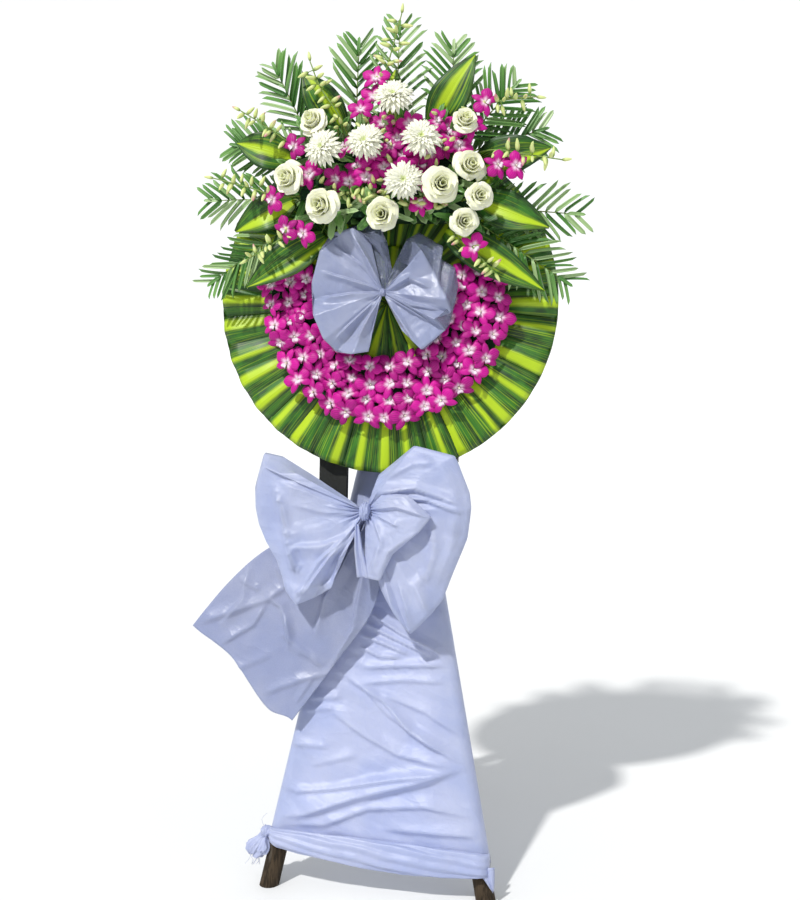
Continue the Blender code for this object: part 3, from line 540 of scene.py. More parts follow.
def orchid_finish(look):
    """A velvety petal: white star-shaped throat, magenta blade with darker veins, cream column; some blooms
    are painted darker as shade.
    """
    recipe = Recipe("orchid", Sheen_Weight=0.08, Sheen_Roughness=0.4, Specular_IOR_Level=0.35)
    along, across, tone, part = recipe.attributes("along", "across", "tone", "part")
    grain = recipe.grain((along, across, tone), 3, 2, 2.5)
    veins = (across * 19 + grain * 2).sine() * 0.5 + 0.5
    ray = along + abs(across) * 0.22 + grain * 0.14 + tone * 0.10 - veins * 0.08
    throat = 1 - ray.between(0.20, 0.56)
    # Darker veins, and whole blooms darker by tone: the darker blooms are painted shade.
    share = (veins * 0.30 + grain * 0.5 + tone * 0.45).between(0.35, 1.15)
    blade_shade = recipe.mix(share, look.orchid, look.orchid_deep)
    petal = recipe.mix(throat * 0.94, blade_shade, look.orchid_throat)
    lip = recipe.mix(along.between(0.45, 0.85) * 0.85, look.orchid_throat, look.orchid)
    shade = recipe.mix(part.between(0.4, 0.6), petal, lip)
    column = recipe.mix(along.between(0.2, 0.9), (0.66, 0.56, 0.24), (0.92, 0.88, 0.74))
    colour = recipe.mix(part.between(1.4, 1.6), shade, column)
    return recipe.finished(colour, 0.42 + grain * 0.2, veins + grain, 0.25, 0.0006)


def rose_finish(look):
    """A soft creamy petal, greener at its base and in the heart, partly its own green and partly painted
    shade deep in the bloom.
    """
    depth = {"Subsurface_Weight": 0.30, "Subsurface_Radius": (0.008, 0.008, 0.004)}
    recipe = Recipe("rose", Sheen_Weight=0.15, Sheen_Roughness=0.5, **depth)
    along, across, tone = recipe.attributes("along", "across", "tone")
    grain = recipe.grain((along, across, tone), 2, 2, 2.5)
    # Greener at the petal's foot and on the inner petals: partly the rose's own colour, partly painted shade
    # in the depth of the bloom.
    green = (1 - along.between(0.05, 0.60)).most((1 - tone).between(0.55, 1.0) * 0.7)
    shade = recipe.mix(green * 0.75 + grain * 0.1, look.rose, look.rose_heart)
    veins = (across * 30 + grain * 3).sine() * 0.3
    return recipe.finished(shade, 0.48 + grain * 0.15, veins + grain, 0.2, 0.0006)


def chrysanthemum_finish(look):
    """A ribbed white ray that turns green towards the heart."""
    depth = {"Subsurface_Weight": 0.10, "Subsurface_Radius": (0.006, 0.006, 0.004)}
    recipe = Recipe("chrysanthemum", Sheen_Weight=0.2, **depth)
    along, across, part = recipe.attributes("along", "across", "part")
    heart = (part.between(0.2, 1.0) * (1 - along * 0.5)).most((1 - along.between(0.0, 0.45)) * 0.5)
    shade = recipe.mix(heart, look.chrysanthemum, look.chrysanthemum_heart)
    return recipe.finished(shade, 0.5 + along * 0.08, (across * 12).sine(), 0.3, 0.0005)


def bud_finish(look):
    """A pale waxy bud, greener at its foot, on a green stem."""
    recipe = Recipe("bud", Coat_Weight=0.15, Coat_Roughness=0.3, Subsurface_Weight=0.08)
    along, tone = recipe.attributes("along", "tone")
    grain = recipe.speckle(recipe.place(), 90.0)
    shade = recipe.mix(along.between(0.0, 0.45), look.stem, look.bud)
    blush = (along.between(0.45, 1.0) * tone.between(0.78, 0.95)) * 0.7
    colour = recipe.mix(blush + grain * 0.04, shade, look.orchid)
    return recipe.finished(colour, 0.38 + grain * 0.2, grain, 0.15, 0.0005)


def cloth_finish(look, name, sheer):
    """Thin smooth cloth with a soft gloss, flat facets, fine crinkles and cool patches; the sheer finish is
    painted darker all over, and darker still on its back layers, as shade.
    """
    depth = {"Subsurface_Weight": 0.30, "Subsurface_Radius": (0.04, 0.04, 0.048)}
    gloss = {"Sheen_Weight": 0.25, "Sheen_Roughness": 0.35, "Sheen_Tint": (0.92, 0.92, 1.0)}
    recipe = Recipe(name, Specular_IOR_Level=0.6, **depth, **gloss)
    # The sheer finish is painted shade: all its colours are darker.
    painted_shade_share, smooth = (0.84, 0.22) if sheer else (1.0, 0.32)
    bright, dim = dimmed(look.cloth, painted_shade_share), dimmed(look.cloth_shade, painted_shade_share)
    spot = recipe.place()
    patch = recipe.speckle(spot, 7.0, 4.0)
    drift = recipe.stretched(spot, 1.0, 1.0, 1.3) + recipe.speckle(spot, 9.0, 2.0) * 0.06
    crinkle = (1 - abs(recipe.speckle(recipe.stretched(spot, 1.0, 1.0, 1.7), 12.0, 3.0) * 2 - 1.0)) ** 9.0
    fibre = recipe.speckle(recipe.stretched(spot, 1.0, 1.0, 0.25), 260.0, 2.0)
    facets, small, weave = recipe.cells(drift, 13.0), recipe.cells(drift, 31.0), recipe.cells(spot, 640.0)
    shade = recipe.mix(patch.between(0.38, 0.66), bright, dim)
    shade = recipe.mix(fibre.between(0.5, 0.8) * 0.3, shade, dim)
    if sheer:
        (layer,) = recipe.attributes("sheer")
        # Painted shade: the sheer back layers are darker, besides letting light through.
        shade = recipe.mix(layer * 0.6, shade, dimmed(dim, 0.6))
        recipe.wear("Alpha", 1 - layer * (0.40 + weave.between(0.25, 0.6) * 0.30))
    folds = facets * 2.4 + small * 0.7 + crinkle * 0.15 + fibre * 0.10 + weave * 0.06
    return recipe.finished(shade, smooth + patch * 0.16 + fibre * 0.08, folds, 0.6, 0.0045)


def bark_finish(look):
    """Rough bark: long furrows, knots of lighter wood and grey patches."""
    recipe = Recipe("bark", Specular_IOR_Level=0.25)
    spot = recipe.place()
    furrow = recipe.speckle(recipe.stretched(spot, 1.0, 1.0, 0.10), 150.0, 5.0, 0.65)
    patch = recipe.speckle(recipe.stretched(spot, 1.0, 1.0, 0.4), 22.0, 4.0)
    dark = dimmed(look.bark, 0.35)
    shade = recipe.mix(furrow.between(0.40, 0.62), dark, look.bark)
    colour = recipe.mix(patch.between(0.55, 0.72) * 0.5, shade, (0.20, 0.18, 0.15))
    return recipe.finished(colour, 0.80 + patch * 0.15, furrow + patch * 0.4, 0.9, 0.003)


def near_black_wood_finish(look):
    """Sawn wood coloured near-black all over, lighter where rubbed along its grain."""
    recipe = Recipe("batten")
    spot = recipe.place()
    grain = recipe.speckle(recipe.stretched(spot, 1.0, 1.0, 0.06), 210.0, 4.0)
    rub = recipe.speckle(spot, 34.0, 5.0, 0.7)
    worn = (rub + grain * 0.35).between(0.82, 0.95)
    colour = recipe.mix(worn * 0.6, look.batten, (0.16, 0.12, 0.08))
    return recipe.finished(colour, 0.55 + grain * 0.25, grain, 0.4, 0.0012)


def board_finish(look):
    """Raw pressed board with short strands and a little dirt."""
    recipe = Recipe("board", Specular_IOR_Level=0.3)
    spot = recipe.place()
    strand = recipe.speckle(recipe.stretched(spot, 1.0, 1.0, 3.5), 46.0, 4.0, 0.6)
    cross = recipe.speckle(recipe.stretched(spot, 3.5, 1.0, 1.0), 46.0, 4.0, 0.6)
    dirt = recipe.speckle(spot, 6.0, 5.0)
    dark = dimmed(look.board, 0.55)
    fleck = (strand * 0.5 + cross * 0.5).between(0.42, 0.60)
    shade = recipe.mix(fleck, dark, look.board)
    colour = recipe.mix(dirt.between(0.52, 0.75) * 0.4, shade, dark)
    return recipe.finished(colour, 0.72 + strand * 0.2, strand + cross, 0.4, 0.0012)


def cord_finish(look):
    """Twisted natural cord with loose fibres."""
    recipe = Recipe("cord", Sheen_Weight=0.3)
    along, across = recipe.attributes("along", "across")
    strand = ((along * 900) + (across * 6.2832)).sine() * 0.5 + 0.5
    fibre = recipe.speckle(recipe.place(), 420.0, 3.0)
    dark = dimmed(look.cord, 0.45)
    colour = recipe.mix((strand * 0.7 + fibre * 0.5).between(0.2, 0.9), dark, look.cord)
    return recipe.finished(colour, 0.75 + fibre * 0.2, strand + fibre * 0.5, 0.7, 0.0015)


def foam_finish(look):
    """Wet open-cell foam with small pits."""
    recipe = Recipe("foam", Specular_IOR_Level=0.3)
    spot = recipe.place()
    cells = recipe.cells(spot, 420.0)
    patch = recipe.speckle(spot, 16.0, 4.0)
    dark = dimmed(look.foam, 0.4)
    colour = recipe.mix((cells + patch * 0.4).between(0.25, 0.75), dark, look.foam)
    return recipe.finished(colour, 0.70 + patch * 0.2, cells, 0.8, 0.0015)


def floor_finish(look):
    """A smooth matt floor, faintly cloudy."""
    recipe = Recipe("studio_floor")
    grain = recipe.speckle(recipe.place(), 2.0)
    colour = recipe.mix(grain, look.floor, dimmed(look.floor, 0.97))
    return recipe.finished(colour, 0.75 + grain * 0.1)


# Making pieces


def linked(mesh_or_curve, name):
    """A new object for the data, in the scene."""
    made = bpy.data.objects.new(name, mesh_or_curve)
    bpy.context.scene.collection.objects.link(made)
    return made


def plain_mesh(obj, name):
    """The object as Blender shows it, as a plain mesh object that takes its place."""
    graph = bpy.context.evaluated_depsgraph_get()
    shown = obj.evaluated_get(graph)
    mesh = bpy.data.meshes.new_from_object(shown, preserve_all_data_layers=True, depsgraph=graph)
    mesh.name = name
    bpy.data.objects.remove(obj)
    return linked(mesh, name)


def meshed(bm, name):
    """A smooth mesh object made of the bmesh, which is freed."""
    mesh = bpy.data.meshes.new(name)
    bm.to_mesh(mesh)
    bm.free()
    mesh.shade_smooth()
    return linked(mesh, name)


def blade(along, across, place, name="blade", **values):
    """A grid moved by place(s, t), which keeps s, 2t - 1 and the values as attributes."""
    bm = bmesh.new()
    bmesh.ops.create_grid(bm, x_segments=along, y_segments=across, size=0.5)
    values = {"along": lambda s, t: s, "across": lambda s, t: 2 * t - 1, **values}
    layers = {key: bm.verts.layers.float.new(key) for key in values}
    for vert in bm.verts:
        s, t = vert.co.x + 0.5, vert.co.y + 0.5
        vert.co = place(s, t)
        for key, value in values.items():
            vert[layers[key]] = value(s, t) if callable(value) else value
    bmesh.ops.remove_doubles(bm, verts=bm.verts, dist=1e-6)
    return meshed(bm, name)


def body(width, depth, height, place=Vector, segments=16, rings=10, **values):
    """A rounded closed body of the given half sizes, with its height as the attribute along."""
    bm = bmesh.new()
    bmesh.ops.create_uvsphere(bm, u_segments=segments, v_segments=rings, radius=1)
    layers = {key: bm.verts.layers.float.new(key) for key in ("along", "across", *values)}
    for vert in bm.verts:
        vert[layers["along"]] = (vert.co.z + 1) / 2
        for key, value in values.items():
            vert[layers[key]] = value
        unit = place(vert.co.copy())
        vert.co = Vector((unit.x * width, unit.y * depth, unit.z * height))
    return meshed(bm, "body")


def welded(obj, distance, filled=False):
    """Joins the mesh's doubled points, fills its holes if asked, and turns its faces outwards."""
    bm = bmesh.new()
    bm.from_mesh(obj.data)
    bmesh.ops.remove_doubles(bm, verts=bm.verts, dist=distance)
    if filled:
        bmesh.ops.holes_fill(bm, edges=bm.edges)
    bmesh.ops.recalc_face_normals(bm, faces=bm.faces)
    bm.to_mesh(obj.data)
    bm.free()
    obj.data.shade_smooth()
    return obj


def walled(obj, thickness):
    """Gives an open blade its thickness."""
    wall = obj.modifiers.new("wall", "SOLIDIFY")
    wall.thickness = thickness
    wall.offset = 0
    return plain_mesh(obj, obj.name)


def stalks(paths, radius, sides=6, taper=0.8):
    """Round stalks along smooth routes, closed at both ends."""
    name, step = "stalks", 0.008
    curve = bpy.data.curves.new(name, "CURVE")
    curve.dimensions = "3D"
    curve.bevel_depth = radius
    curve.bevel_resolution = (sides - 4) // 2
    curve.use_fill_caps = True
    for path in paths:
        route = Route(path)
        count = max(3, round(route.reach[-1] / step))
        spline = curve.splines.new("POLY")
        spline.points.add(count - 1)
        for number, knot in enumerate(spline.points):
            share = number / (count - 1)
            knot.co = (*route(share), 1)
            knot.radius = 1 - (1 - taper) * share
    made = welded(plain_mesh(linked(curve, name), name), 1e-6)
    for key in ("along", "across", "tone"):
        made.data.attributes.new(key, "FLOAT", "POINT")
    return made


def painted(obj, finish):
    """Gives the object one of the workshop's finishes."""
    obj.data.materials.clear()
    obj.data.materials.append(shop[finish])
    return obj


def joined(name, pieces):
    """One object from several, which keep their own materials."""
    first = pieces[0]
    with bpy.context.temp_override(active_object=first, object=first, selected_editable_objects=pieces):
        bpy.ops.object.join()
    first.name = first.data.name = name
    return first


def settled(obj, name, slot, *nodes):
    """Carries a piece from the leaning frame to its place and rides it on the wreath."""
    obj.data.transform(LEANING)
    obj.name = obj.data.name = name
    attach(obj, "root")
    if nodes:
        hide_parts(*nodes)
    return obj


class Copies:
    """A Geometry Nodes tree that stands one shape on every spot, by the spot's own turn and size."""

    inputs = {
        "Spots": "NodeSocketGeometry",
        "Shape": "NodeSocketObject",
        "Finish": "NodeSocketMaterial",
        "Tone seed": "NodeSocketInt",
    }

    def __init__(self):
        self.tree = bpy.data.node_groups.new("copies", "GeometryNodeTree")
        self.keys = {name: self.socket(name, "INPUT", kind) for name, kind in self.inputs.items()}
        self.socket("Copies", "OUTPUT", "NodeSocketGeometry")
        given = self.add("NodeGroupInput")
        points = self.add("GeometryNodeMeshToPoints", {}, {"Mesh": given["Spots"]})
        shape = self.add("GeometryNodeObjectInfo", {}, {"Object": given["Shape"]})
        turn, size = (
            self.add("GeometryNodeInputNamedAttribute", {"data_type": "FLOAT_VECTOR"}, {"Name": name})
            for name in ("turn", "size")
        )
        euler = self.add("FunctionNodeEulerToRotation", {}, {0: turn[0]})
        stood = {"Points": points[0], "Instance": shape["Geometry"], "Rotation": euler[0], "Scale": size[0]}
        copies = self.add("GeometryNodeInstanceOnPoints", {}, stood)
        tone = self.add("FunctionNodeRandomValue", {"data_type": "FLOAT"}, {"Seed": given["Tone seed"]})
        toned = {"Geometry": copies[0], "Name": "tone", "Value": tone[1]}
        kind = {"data_type": "FLOAT", "domain": "INSTANCE"}
        store = self.add("GeometryNodeStoreNamedAttribute", kind, toned)
        real = self.add("GeometryNodeRealizeInstances", {}, {"Geometry": store[0]})
        coated = {"Geometry": real[0], "Material": given["Finish"]}
        final = self.add("GeometryNodeSetMaterial", {}, coated)
        self.add("NodeGroupOutput", {}, {0: final[0]})

    def socket(self, name, way, kind):
        return self.tree.interface.new_socket(name, in_out=way, socket_type=kind).identifier

    def add(self, *wanted):
        return add_node(self.tree, *wanted).outputs

    def __call__(self, name, places, shape, finish, seed):
        """A mesh object with a copy of the shape at each of the places, which are matrices."""
        mesh = bpy.data.meshes.new(name)
        mesh.from_pydata([place.to_translation() for place in places], [], [])
        for key, read in (("turn", Matrix.to_euler), ("size", Matrix.to_scale)):
            layer = mesh.attributes.new(key, "FLOAT_VECTOR", "POINT")
            for number, place in enumerate(places):
                layer.data[number].vector = read(place)
        spots = linked(mesh, name + "_spots")
        grow = spots.modifiers.new("copies", "NODES")
        grow.node_group = self.tree
        for key, value in (("Shape", shape), ("Finish", finish), ("Tone seed", seed)):
            grow[self.keys[key]] = value
        return plain_mesh(spots, name)


class Workshop:
    """Finishes and shapes that several pieces share, each made when it is first asked for."""

    makers = {}

    def __init__(self):
        self.kept = {}

    def __getitem__(self, name):
        if name not in self.kept:
            self.kept[name] = self.makers[name](bpy.context.scene)
        return self.kept[name]


shop = Workshop()
Workshop.makers.update(
    copies=lambda scene: Copies(),
    orchid_shape=lambda scene: orchid_shape(),
    striped_leaf=lambda scene: striped_leaf_finish(scene.wreath_foliage),
    palm=lambda scene: palm_finish(scene.wreath_foliage),
    orchid=lambda scene: orchid_finish(scene.wreath_flowers),
    rose=lambda scene: rose_finish(scene.wreath_flowers),
    chrysanthemum=lambda scene: chrysanthemum_finish(scene.wreath_flowers),
    bud=lambda scene: bud_finish(scene.wreath_flowers),
    cloth=lambda scene: cloth_finish(scene.wreath_cloth, "cloth", False),
    sheer_cloth=lambda scene: cloth_finish(scene.wreath_cloth, "sheer_cloth", True),
    bark=lambda scene: bark_finish(scene.wreath_stand),
    batten=lambda scene: near_black_wood_finish(scene.wreath_stand),
    board=lambda scene: board_finish(scene.wreath_stand),
    cord=lambda scene: cord_finish(scene.wreath_stand),
    foam=lambda scene: foam_finish(scene.wreath_stand),
    floor=lambda scene: floor_finish(scene.wreath_stage),
)


def copies(name, places, shape, finish, seed):
    """Copies of the shape in one of the workshop's finishes."""
    return shop["copies"](name, places, shape, shop[finish], seed)


def foam_root(right, up, out):
    """The nearest place inside the foam for a stem to end."""
    return at(
        clamp(right, STEM_DEPTH - FOAM_HALF_WIDTH, FOAM_HALF_WIDTH - STEM_DEPTH),
        clamp(up, FOAM_BOTTOM + STEM_DEPTH, FOAM_TOP - STEM_DEPTH),
        out,
    )


# Stand and board


class WREATH_OT_stand(bpy.types.Operator):
    """Finish the poles, battens, header, board and foam, and wind the lashing"""

    bl_idname = "wreath.stand"
    bl_label = "Stand and board"

    def execute(self, context):
        finishes = {
            "bark": ("leg_left", "leg_right", "leg_rear"),
            "batten": ("batten_left", "batten_right", "header"),
            "board": ("wreath_board",),
            "foam": ("ring_foam", "spray_foam"),
        }
        for finish, nodes in finishes.items():
            for node in nodes:
                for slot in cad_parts[node].material_slots:
                    slot.material = shop[finish]
        self.wind_lashing()
        return {"FINISHED"}

    def wind_lashing(self):
        """Turns of cord round the three pole tops, one over the other."""
        low, high = (Vector(corner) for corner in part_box("lashing"))
        middle = LEANING.inverted() @ ((low + high) / 2)
        half_width, half_depth, tall, radius = 0.0585, 0.0455, 0.0280, 0.0030
        turns, steps = 6, 28
        path = []
        for step in range(turns * steps + 1):
            angle = math.tau * step / steps
            up = middle.z - tall / 2 + tall * step / (turns * steps)
            wander = 0.0012 * ripple(step * 0.13, 4.0, 1.0)
            across = math.copysign(abs(math.cos(angle)) ** 0.85, math.cos(angle)) * (half_width + wander)
            path.append(Vector((across, middle.y + math.sin(angle) * (half_depth + wander), up)))
        cord = stalks([path], radius, sides=8, taper=1.0)
        settled(painted(cord, "cord"), "lashing_cord", "cord", "lashing")


# Leaves of the disc


class WREATH_OT_collar(bpy.types.Operator):
    """Lay the lapped striped leaves round the disc and over its middle"""

    bl_idname = "wreath.collar"
    bl_label = "Disc leaves"

    def execute(self, context):
        foliage = context.scene.wreath_foliage
        self.ring("leaf_collar", COLLAR_INNER - 0.004, COLLAR_OUTER, foliage.collar_leaves, 5)
        self.ring("centre_leaves", 0.002, CENTRE_RADIUS, foliage.centre_leaves, 9)
        return {"FINISHED"}

    def ring(self, name, inner, outer, count, seed):
        """A ring of copies of one leaf, each lapped over the next."""
        half = math.pi / count * 1.22
        turned_over = name == "leaf_collar"

        def place(s, t):
            across = 2 * t - 1
            reach = inner + (outer - inner) * s
            if turned_over:
                reach = inner + (reach - inner) * (1 - 0.012 * across**2)
            angle = half * across * (0.98 + 0.02 * s)
            ridge = (0.0036 + 0.0060 * ease(reach, 0.24, 0.31)) * (1 - abs(across)) * ease(s, 0, 0.3)
            lap = 0.0018 + 0.0026 * (across + 1) / 2
            wave = 0.0010 * math.sin(9 * s + 3 * across)
            out = LEAF_OUT + ridge + lap + wave * s
            if turned_over:
                over = max(0.0, s - 0.955) / 0.045
                out -= 0.0060 * over**2
            return round_disc(angle, reach, out)

        leaf = walled(blade(22, 14, place), LEAF_WALL)
        draw = random.Random(seed)
        turns = []
        for number in range(count):
            angle = math.tau * (number + draw.uniform(-0.10, 0.10)) / count
            lean = draw.uniform(-0.004, 0.004)
            turns.append(Matrix.Rotation(-angle, 4, "Y") @ Matrix.Rotation(lean, 4, "Z"))
        ring = copies(name, turns, leaf, "striped_leaf", seed)
        bpy.data.objects.remove(leaf)
        if turned_over:
            ring = joined(name, [ring, painted(self.rim(), "striped_leaf")])
        settled(ring, name + "_blades", "striped_leaf", name)

    def rim(self):
        """The leaves' ends, turned back over the board's edge."""

        def place(s, t):
            angle = math.tau * s
            lobes = 0.0010 * abs(math.sin(18 * angle))
            return round_disc(angle, COLLAR_OUTER - 0.0012 + lobes - 0.006 * t**2, 0.0040 - 0.0225 * t)

        return walled(blade(216, 4, place, tone=lambda s, t: (s * 36) % 1.0), LEAF_WALL)


# Orchids


def orchid_shape():
    """One open orchid of radius 1 facing +Z: three sepals, two broad petals, lip and column."""

    def petal(width, widest, bend):
        power = math.log(0.5) / math.log(widest)

        def place(s, t):
            across = 2 * t - 1
            half = width / 2 * math.sin(math.pi * (0.02 + 0.97 * s) ** power) ** 0.7 + 0.03 * (1 - s)
            lift = 0.14 * math.sin(math.pi * 0.9 * s) + bend * s**2 - 0.30 * half * across**2
            return Vector((0.04 + 0.96 * s, across * half, lift + 0.02 * math.sin(9 * s + 2) * across))

        return place

    sepal, broad = petal(0.46, 0.52, -0.16), petal(0.78, 0.60, -0.02)
    pieces = []
    sepals = [(angle, sepal, 0) for angle in (90, 218, 322)]
    for angle, place, lift in (*sepals, (18, broad, 0.03), (162, broad, 0.03)):
        leaf = walled(blade(7, 5, place, part=0.0), PETAL_WALL)
        leaf.data.transform(Matrix.Rotation(math.radians(angle), 4, "Z") @ Matrix.Translation((0, 0, lift)))
        pieces.append(leaf)

    def lip(s, t):
        across = 2 * t - 1
        half = 0.05 + 0.13 * math.sin(math.pi * s**0.8)
        curl = 0.16 * math.sin(math.pi * s) + 0.10 * across**2 - 0.14 * s**2
        return Vector((across * half, -0.04 - 0.36 * s, 0.12 + curl))

    pieces.append(walled(blade(6, 4, lip, part=1.0), PETAL_WALL))
    column = body(0.055, 0.060, 0.11, segments=8, rings=6, part=2.0)
    column.data.transform(Matrix.Translation((0, 0.01, 0.15)))
    pieces.append(column)
    return joined("orchid_shape", pieces)


class WREATH_OT_orchid_bank(bpy.types.Operator):
    """Pin rows of open orchids close together on the ring of foam"""

    bl_idname = "wreath.orchid_bank"
    bl_label = "Orchid bank"

    def execute(self, context):
        flowers = context.scene.wreath_flowers
        draw = random.Random(4)
        span = math.radians(BANK_END - BANK_START)
        places = []
        for row, radius in enumerate(BANK_ROWS):
            count = round(span * radius / flowers.bank_spacing)
            for number in range(count + 1):
                share = clamp((number + 0.5 * (row % 2) + draw.uniform(-0.12, 0.12)) / count)
                angle = math.radians(BANK_START) + share * span
                reach = radius + draw.uniform(-0.005, 0.005)
                towards = round_disc(angle, (radius - BANK_MIDDLE) * 7, 1)
                towards += at(draw.uniform(-0.38, 0.38), draw.uniform(-0.38, 0.38), 0)
                spot = round_disc(angle, reach, BANK_OUT + draw.uniform(-0.004, 0.004))
                size = flowers.orchid_radius * draw.uniform(0.90, 1.06)
                places.append(facing(spot, towards, draw.uniform(-0.7, 0.7), (size,) * 3))
        bank = copies("orchid_bank_blooms", places, shop["orchid_shape"], "orchid", 3)
        settled(bank, "orchid_bank_blooms", "orchid", "orchid_bank")
        return {"FINISHED"}


# Flower heads


def head_place(place):
    """The middle of a head, the way it faces and its radius."""
    right, up, out, radius = place
    lift = (up - SPRAY_MIDDLE) * (3.2 if up > SPRAY_MIDDLE else 1.8)
    return at(right, up, out), at(2.2 * right, lift, 1.0).normalized(), radius


def head_stem(place):
    """The stem of a head, from its root in the foam."""
    centre, towards, radius = head_place(place)
    right, up, _, _ = place
    neck = centre - towards * 0.5 * radius
    root = foam_root(right, up, FOAM_FRONT - STEM_DEPTH)
    return stalks([(root, root.lerp(neck, 0.5), neck)], HEAD_STEM, sides=8, taper=1.0)


class WREATH_OT_roses(bpy.types.Operator):
    """Open nine creamy roses on their stems"""

    bl_idname = "wreath.roses"
    bl_label = "Roses"

    def execute(self, context):
        for number, place in enumerate(ROSES, 1):
            centre, towards, radius = head_place(place)
            head = joined("rose", self.petals(number))
            head.data.transform(facing(centre, towards, number * 1.9, (radius,) * 3))
            stem = painted(head_stem(place), "bud")
            name = f"rose_{number}"
            settled(joined(name, [painted(head, "rose"), stem]), name + "_bloom", "rose", name)
        return {"FINISHED"}

    def petals(self, seed):
        """Cupped petals round a tight heart, which open outwards and roll their lips back."""
        draw = random.Random(seed)
        layers = (
            (2, 0.05, 0.15, 0.66, 0.02, 2.10),
            (3, 0.12, 0.30, 0.70, 0.10, 1.50),
            (3, 0.22, 0.46, 0.62, 0.20, 1.45),
            (4, 0.28, 0.62, 0.36, 0.30, 1.10),
            (4, 0.30, 0.72, 0.04, 0.32, 0.90),
        )
        pieces = []
        for layer, (count, foot, out, top, roll, span) in enumerate(layers):
            for number in range(count):
                place = self.petal(
                    0.7 * layer + math.tau * (number + draw.uniform(-0.12, 0.12)) / count,
                    foot,
                    out * draw.uniform(0.94, 1.06),
                    top + draw.uniform(-0.06, 0.06),
                    roll * draw.uniform(0.6, 1.3),
                    span * draw.uniform(0.9, 1.1),
                )
                petal = blade(10, 12, place, tone=(layer + 0.5) / len(layers))
                pieces.append(walled(petal, PETAL_WALL))
        pieces.append(self.calyx())
        return pieces

    def petal(self, turn, foot, out, top, roll, span):
        """One petal: it laps over the next, and its lip rolls outwards."""

        def place(s, t):
            across = 2 * t - 1
            angle = turn + across * span * (0.50 + 0.50 * math.sin(math.pi * 0.60 * s))
            swell = math.sin(math.pi / 2 * s**0.75)
            lip = ease(s, 0.58, 1.0)
            reach = foot + (out - foot) * swell * (1 - 0.12 * across)
            reach += roll * lip**1.5 * (1 - 0.5 * across**2)
            reach += 0.030 * math.sin(7 * across + turn * 5) * lip
            height = -0.60 + (top + 0.60) * s - 0.90 * roll * lip**2 - 0.24 * across**4 * s**2
            height += 0.045 * math.sin(5 * across + turn * 3) * lip
            return Vector((reach * math.cos(angle), reach * math.sin(angle), height))

        return place

    def calyx(self):
        """The green cup under the petals."""

        def shape(unit):
            unit.x *= 1 + 0.10 * math.cos(5 * math.atan2(unit.y, unit.x))
            return unit

        cup = body(0.26, 0.26, 0.20, shape, 15, 8, tone=0.0)
        cup.data.transform(Matrix.Translation((0, 0, -0.66)))
        return cup


# Rings of a chrysanthemum: how many rays, their tilt in degrees, their length and height
OUTER_RINGS = (
    (22, -8, 1.0, 0.0), (20, 8, 0.96, 0.02), (17, 24, 0.86, 0.04), (14, 40, 0.74, 0.06), (11, 55, 0.60, 0.07)
)
HEART_RINGS = ((10, 66, 0.46, 0.07), (8, 76, 0.38, 0.08), (5, 86, 0.32, 0.08))


class WREATH_OT_chrysanthemums(bpy.types.Operator):
    """Open five many-rayed white chrysanthemums on their stems"""

    bl_idname = "wreath.chrysanthemums"
    bl_label = "Chrysanthemums"

    def execute(self, context):
        def place(s, t):
            across = 2 * t - 1
            half = 0.088 * (0.45 + 0.75 * math.sin(math.pi * min(1, s * 0.9 + 0.08)))
            half *= 1 - ease(s, 0.84, 1.0) * 0.70
            lift = 0.060 * across**2 + 0.16 * math.sin(math.pi * s * 0.9) - 0.08 * s
            return Vector((s, across * half, lift))

        ray = walled(blade(6, 4, place, part=0.0), RAY_WALL)
        floret = walled(blade(4, 4, place, part=1.0), RAY_WALL)
        for number, spot in enumerate(CHRYSANTHEMUMS, 1):
            centre, towards, radius = head_place(spot)
            head = facing(centre, towards, number * 1.3, (radius,) * 3)
            rays, heart = (
                copies("rays", self.rings(head, number, rings), shape, "chrysanthemum", number)
                for rings, shape in ((OUTER_RINGS, ray), (HEART_RINGS, floret))
            )
            base = body(0.32, 0.32, 0.20, segments=14, rings=8, part=0.8)
            base.data.transform(head @ Matrix.Translation((0, 0, -0.02)))
            pieces = [rays, heart, painted(base, "chrysanthemum"), painted(head_stem(spot), "bud")]
            name = f"chrysanthemum_{number}"
            settled(joined(name, pieces), name + "_bloom", "chrysanthemum", name)
        bpy.data.objects.remove(ray)
        bpy.data.objects.remove(floret)
        return {"FINISHED"}

    def rings(self, head, seed, table):
        """Where the rays of each ring stand, or the florets of the heart."""
        draw = random.Random(seed)
        places = []
        for count, tilt, length, height in table:
            first = draw.uniform(0, math.tau)
            for number in range(count):
                turn = first + math.tau * (number + draw.uniform(-0.22, 0.22)) / count
                rise = math.radians(tilt + draw.uniform(-9, 9))
                long = length * draw.uniform(0.90, 1.06) - 0.10
                places.append(
                    head
                    @ Matrix.Rotation(turn, 4, "Z")
                    @ Matrix.Translation((0.10, 0, height))
                    @ Matrix.Rotation(-rise, 4, "Y")
                    @ Matrix.Diagonal((long, draw.uniform(0.85, 1.1), 1, 1))
                )
        return places


# Foliage of the spray


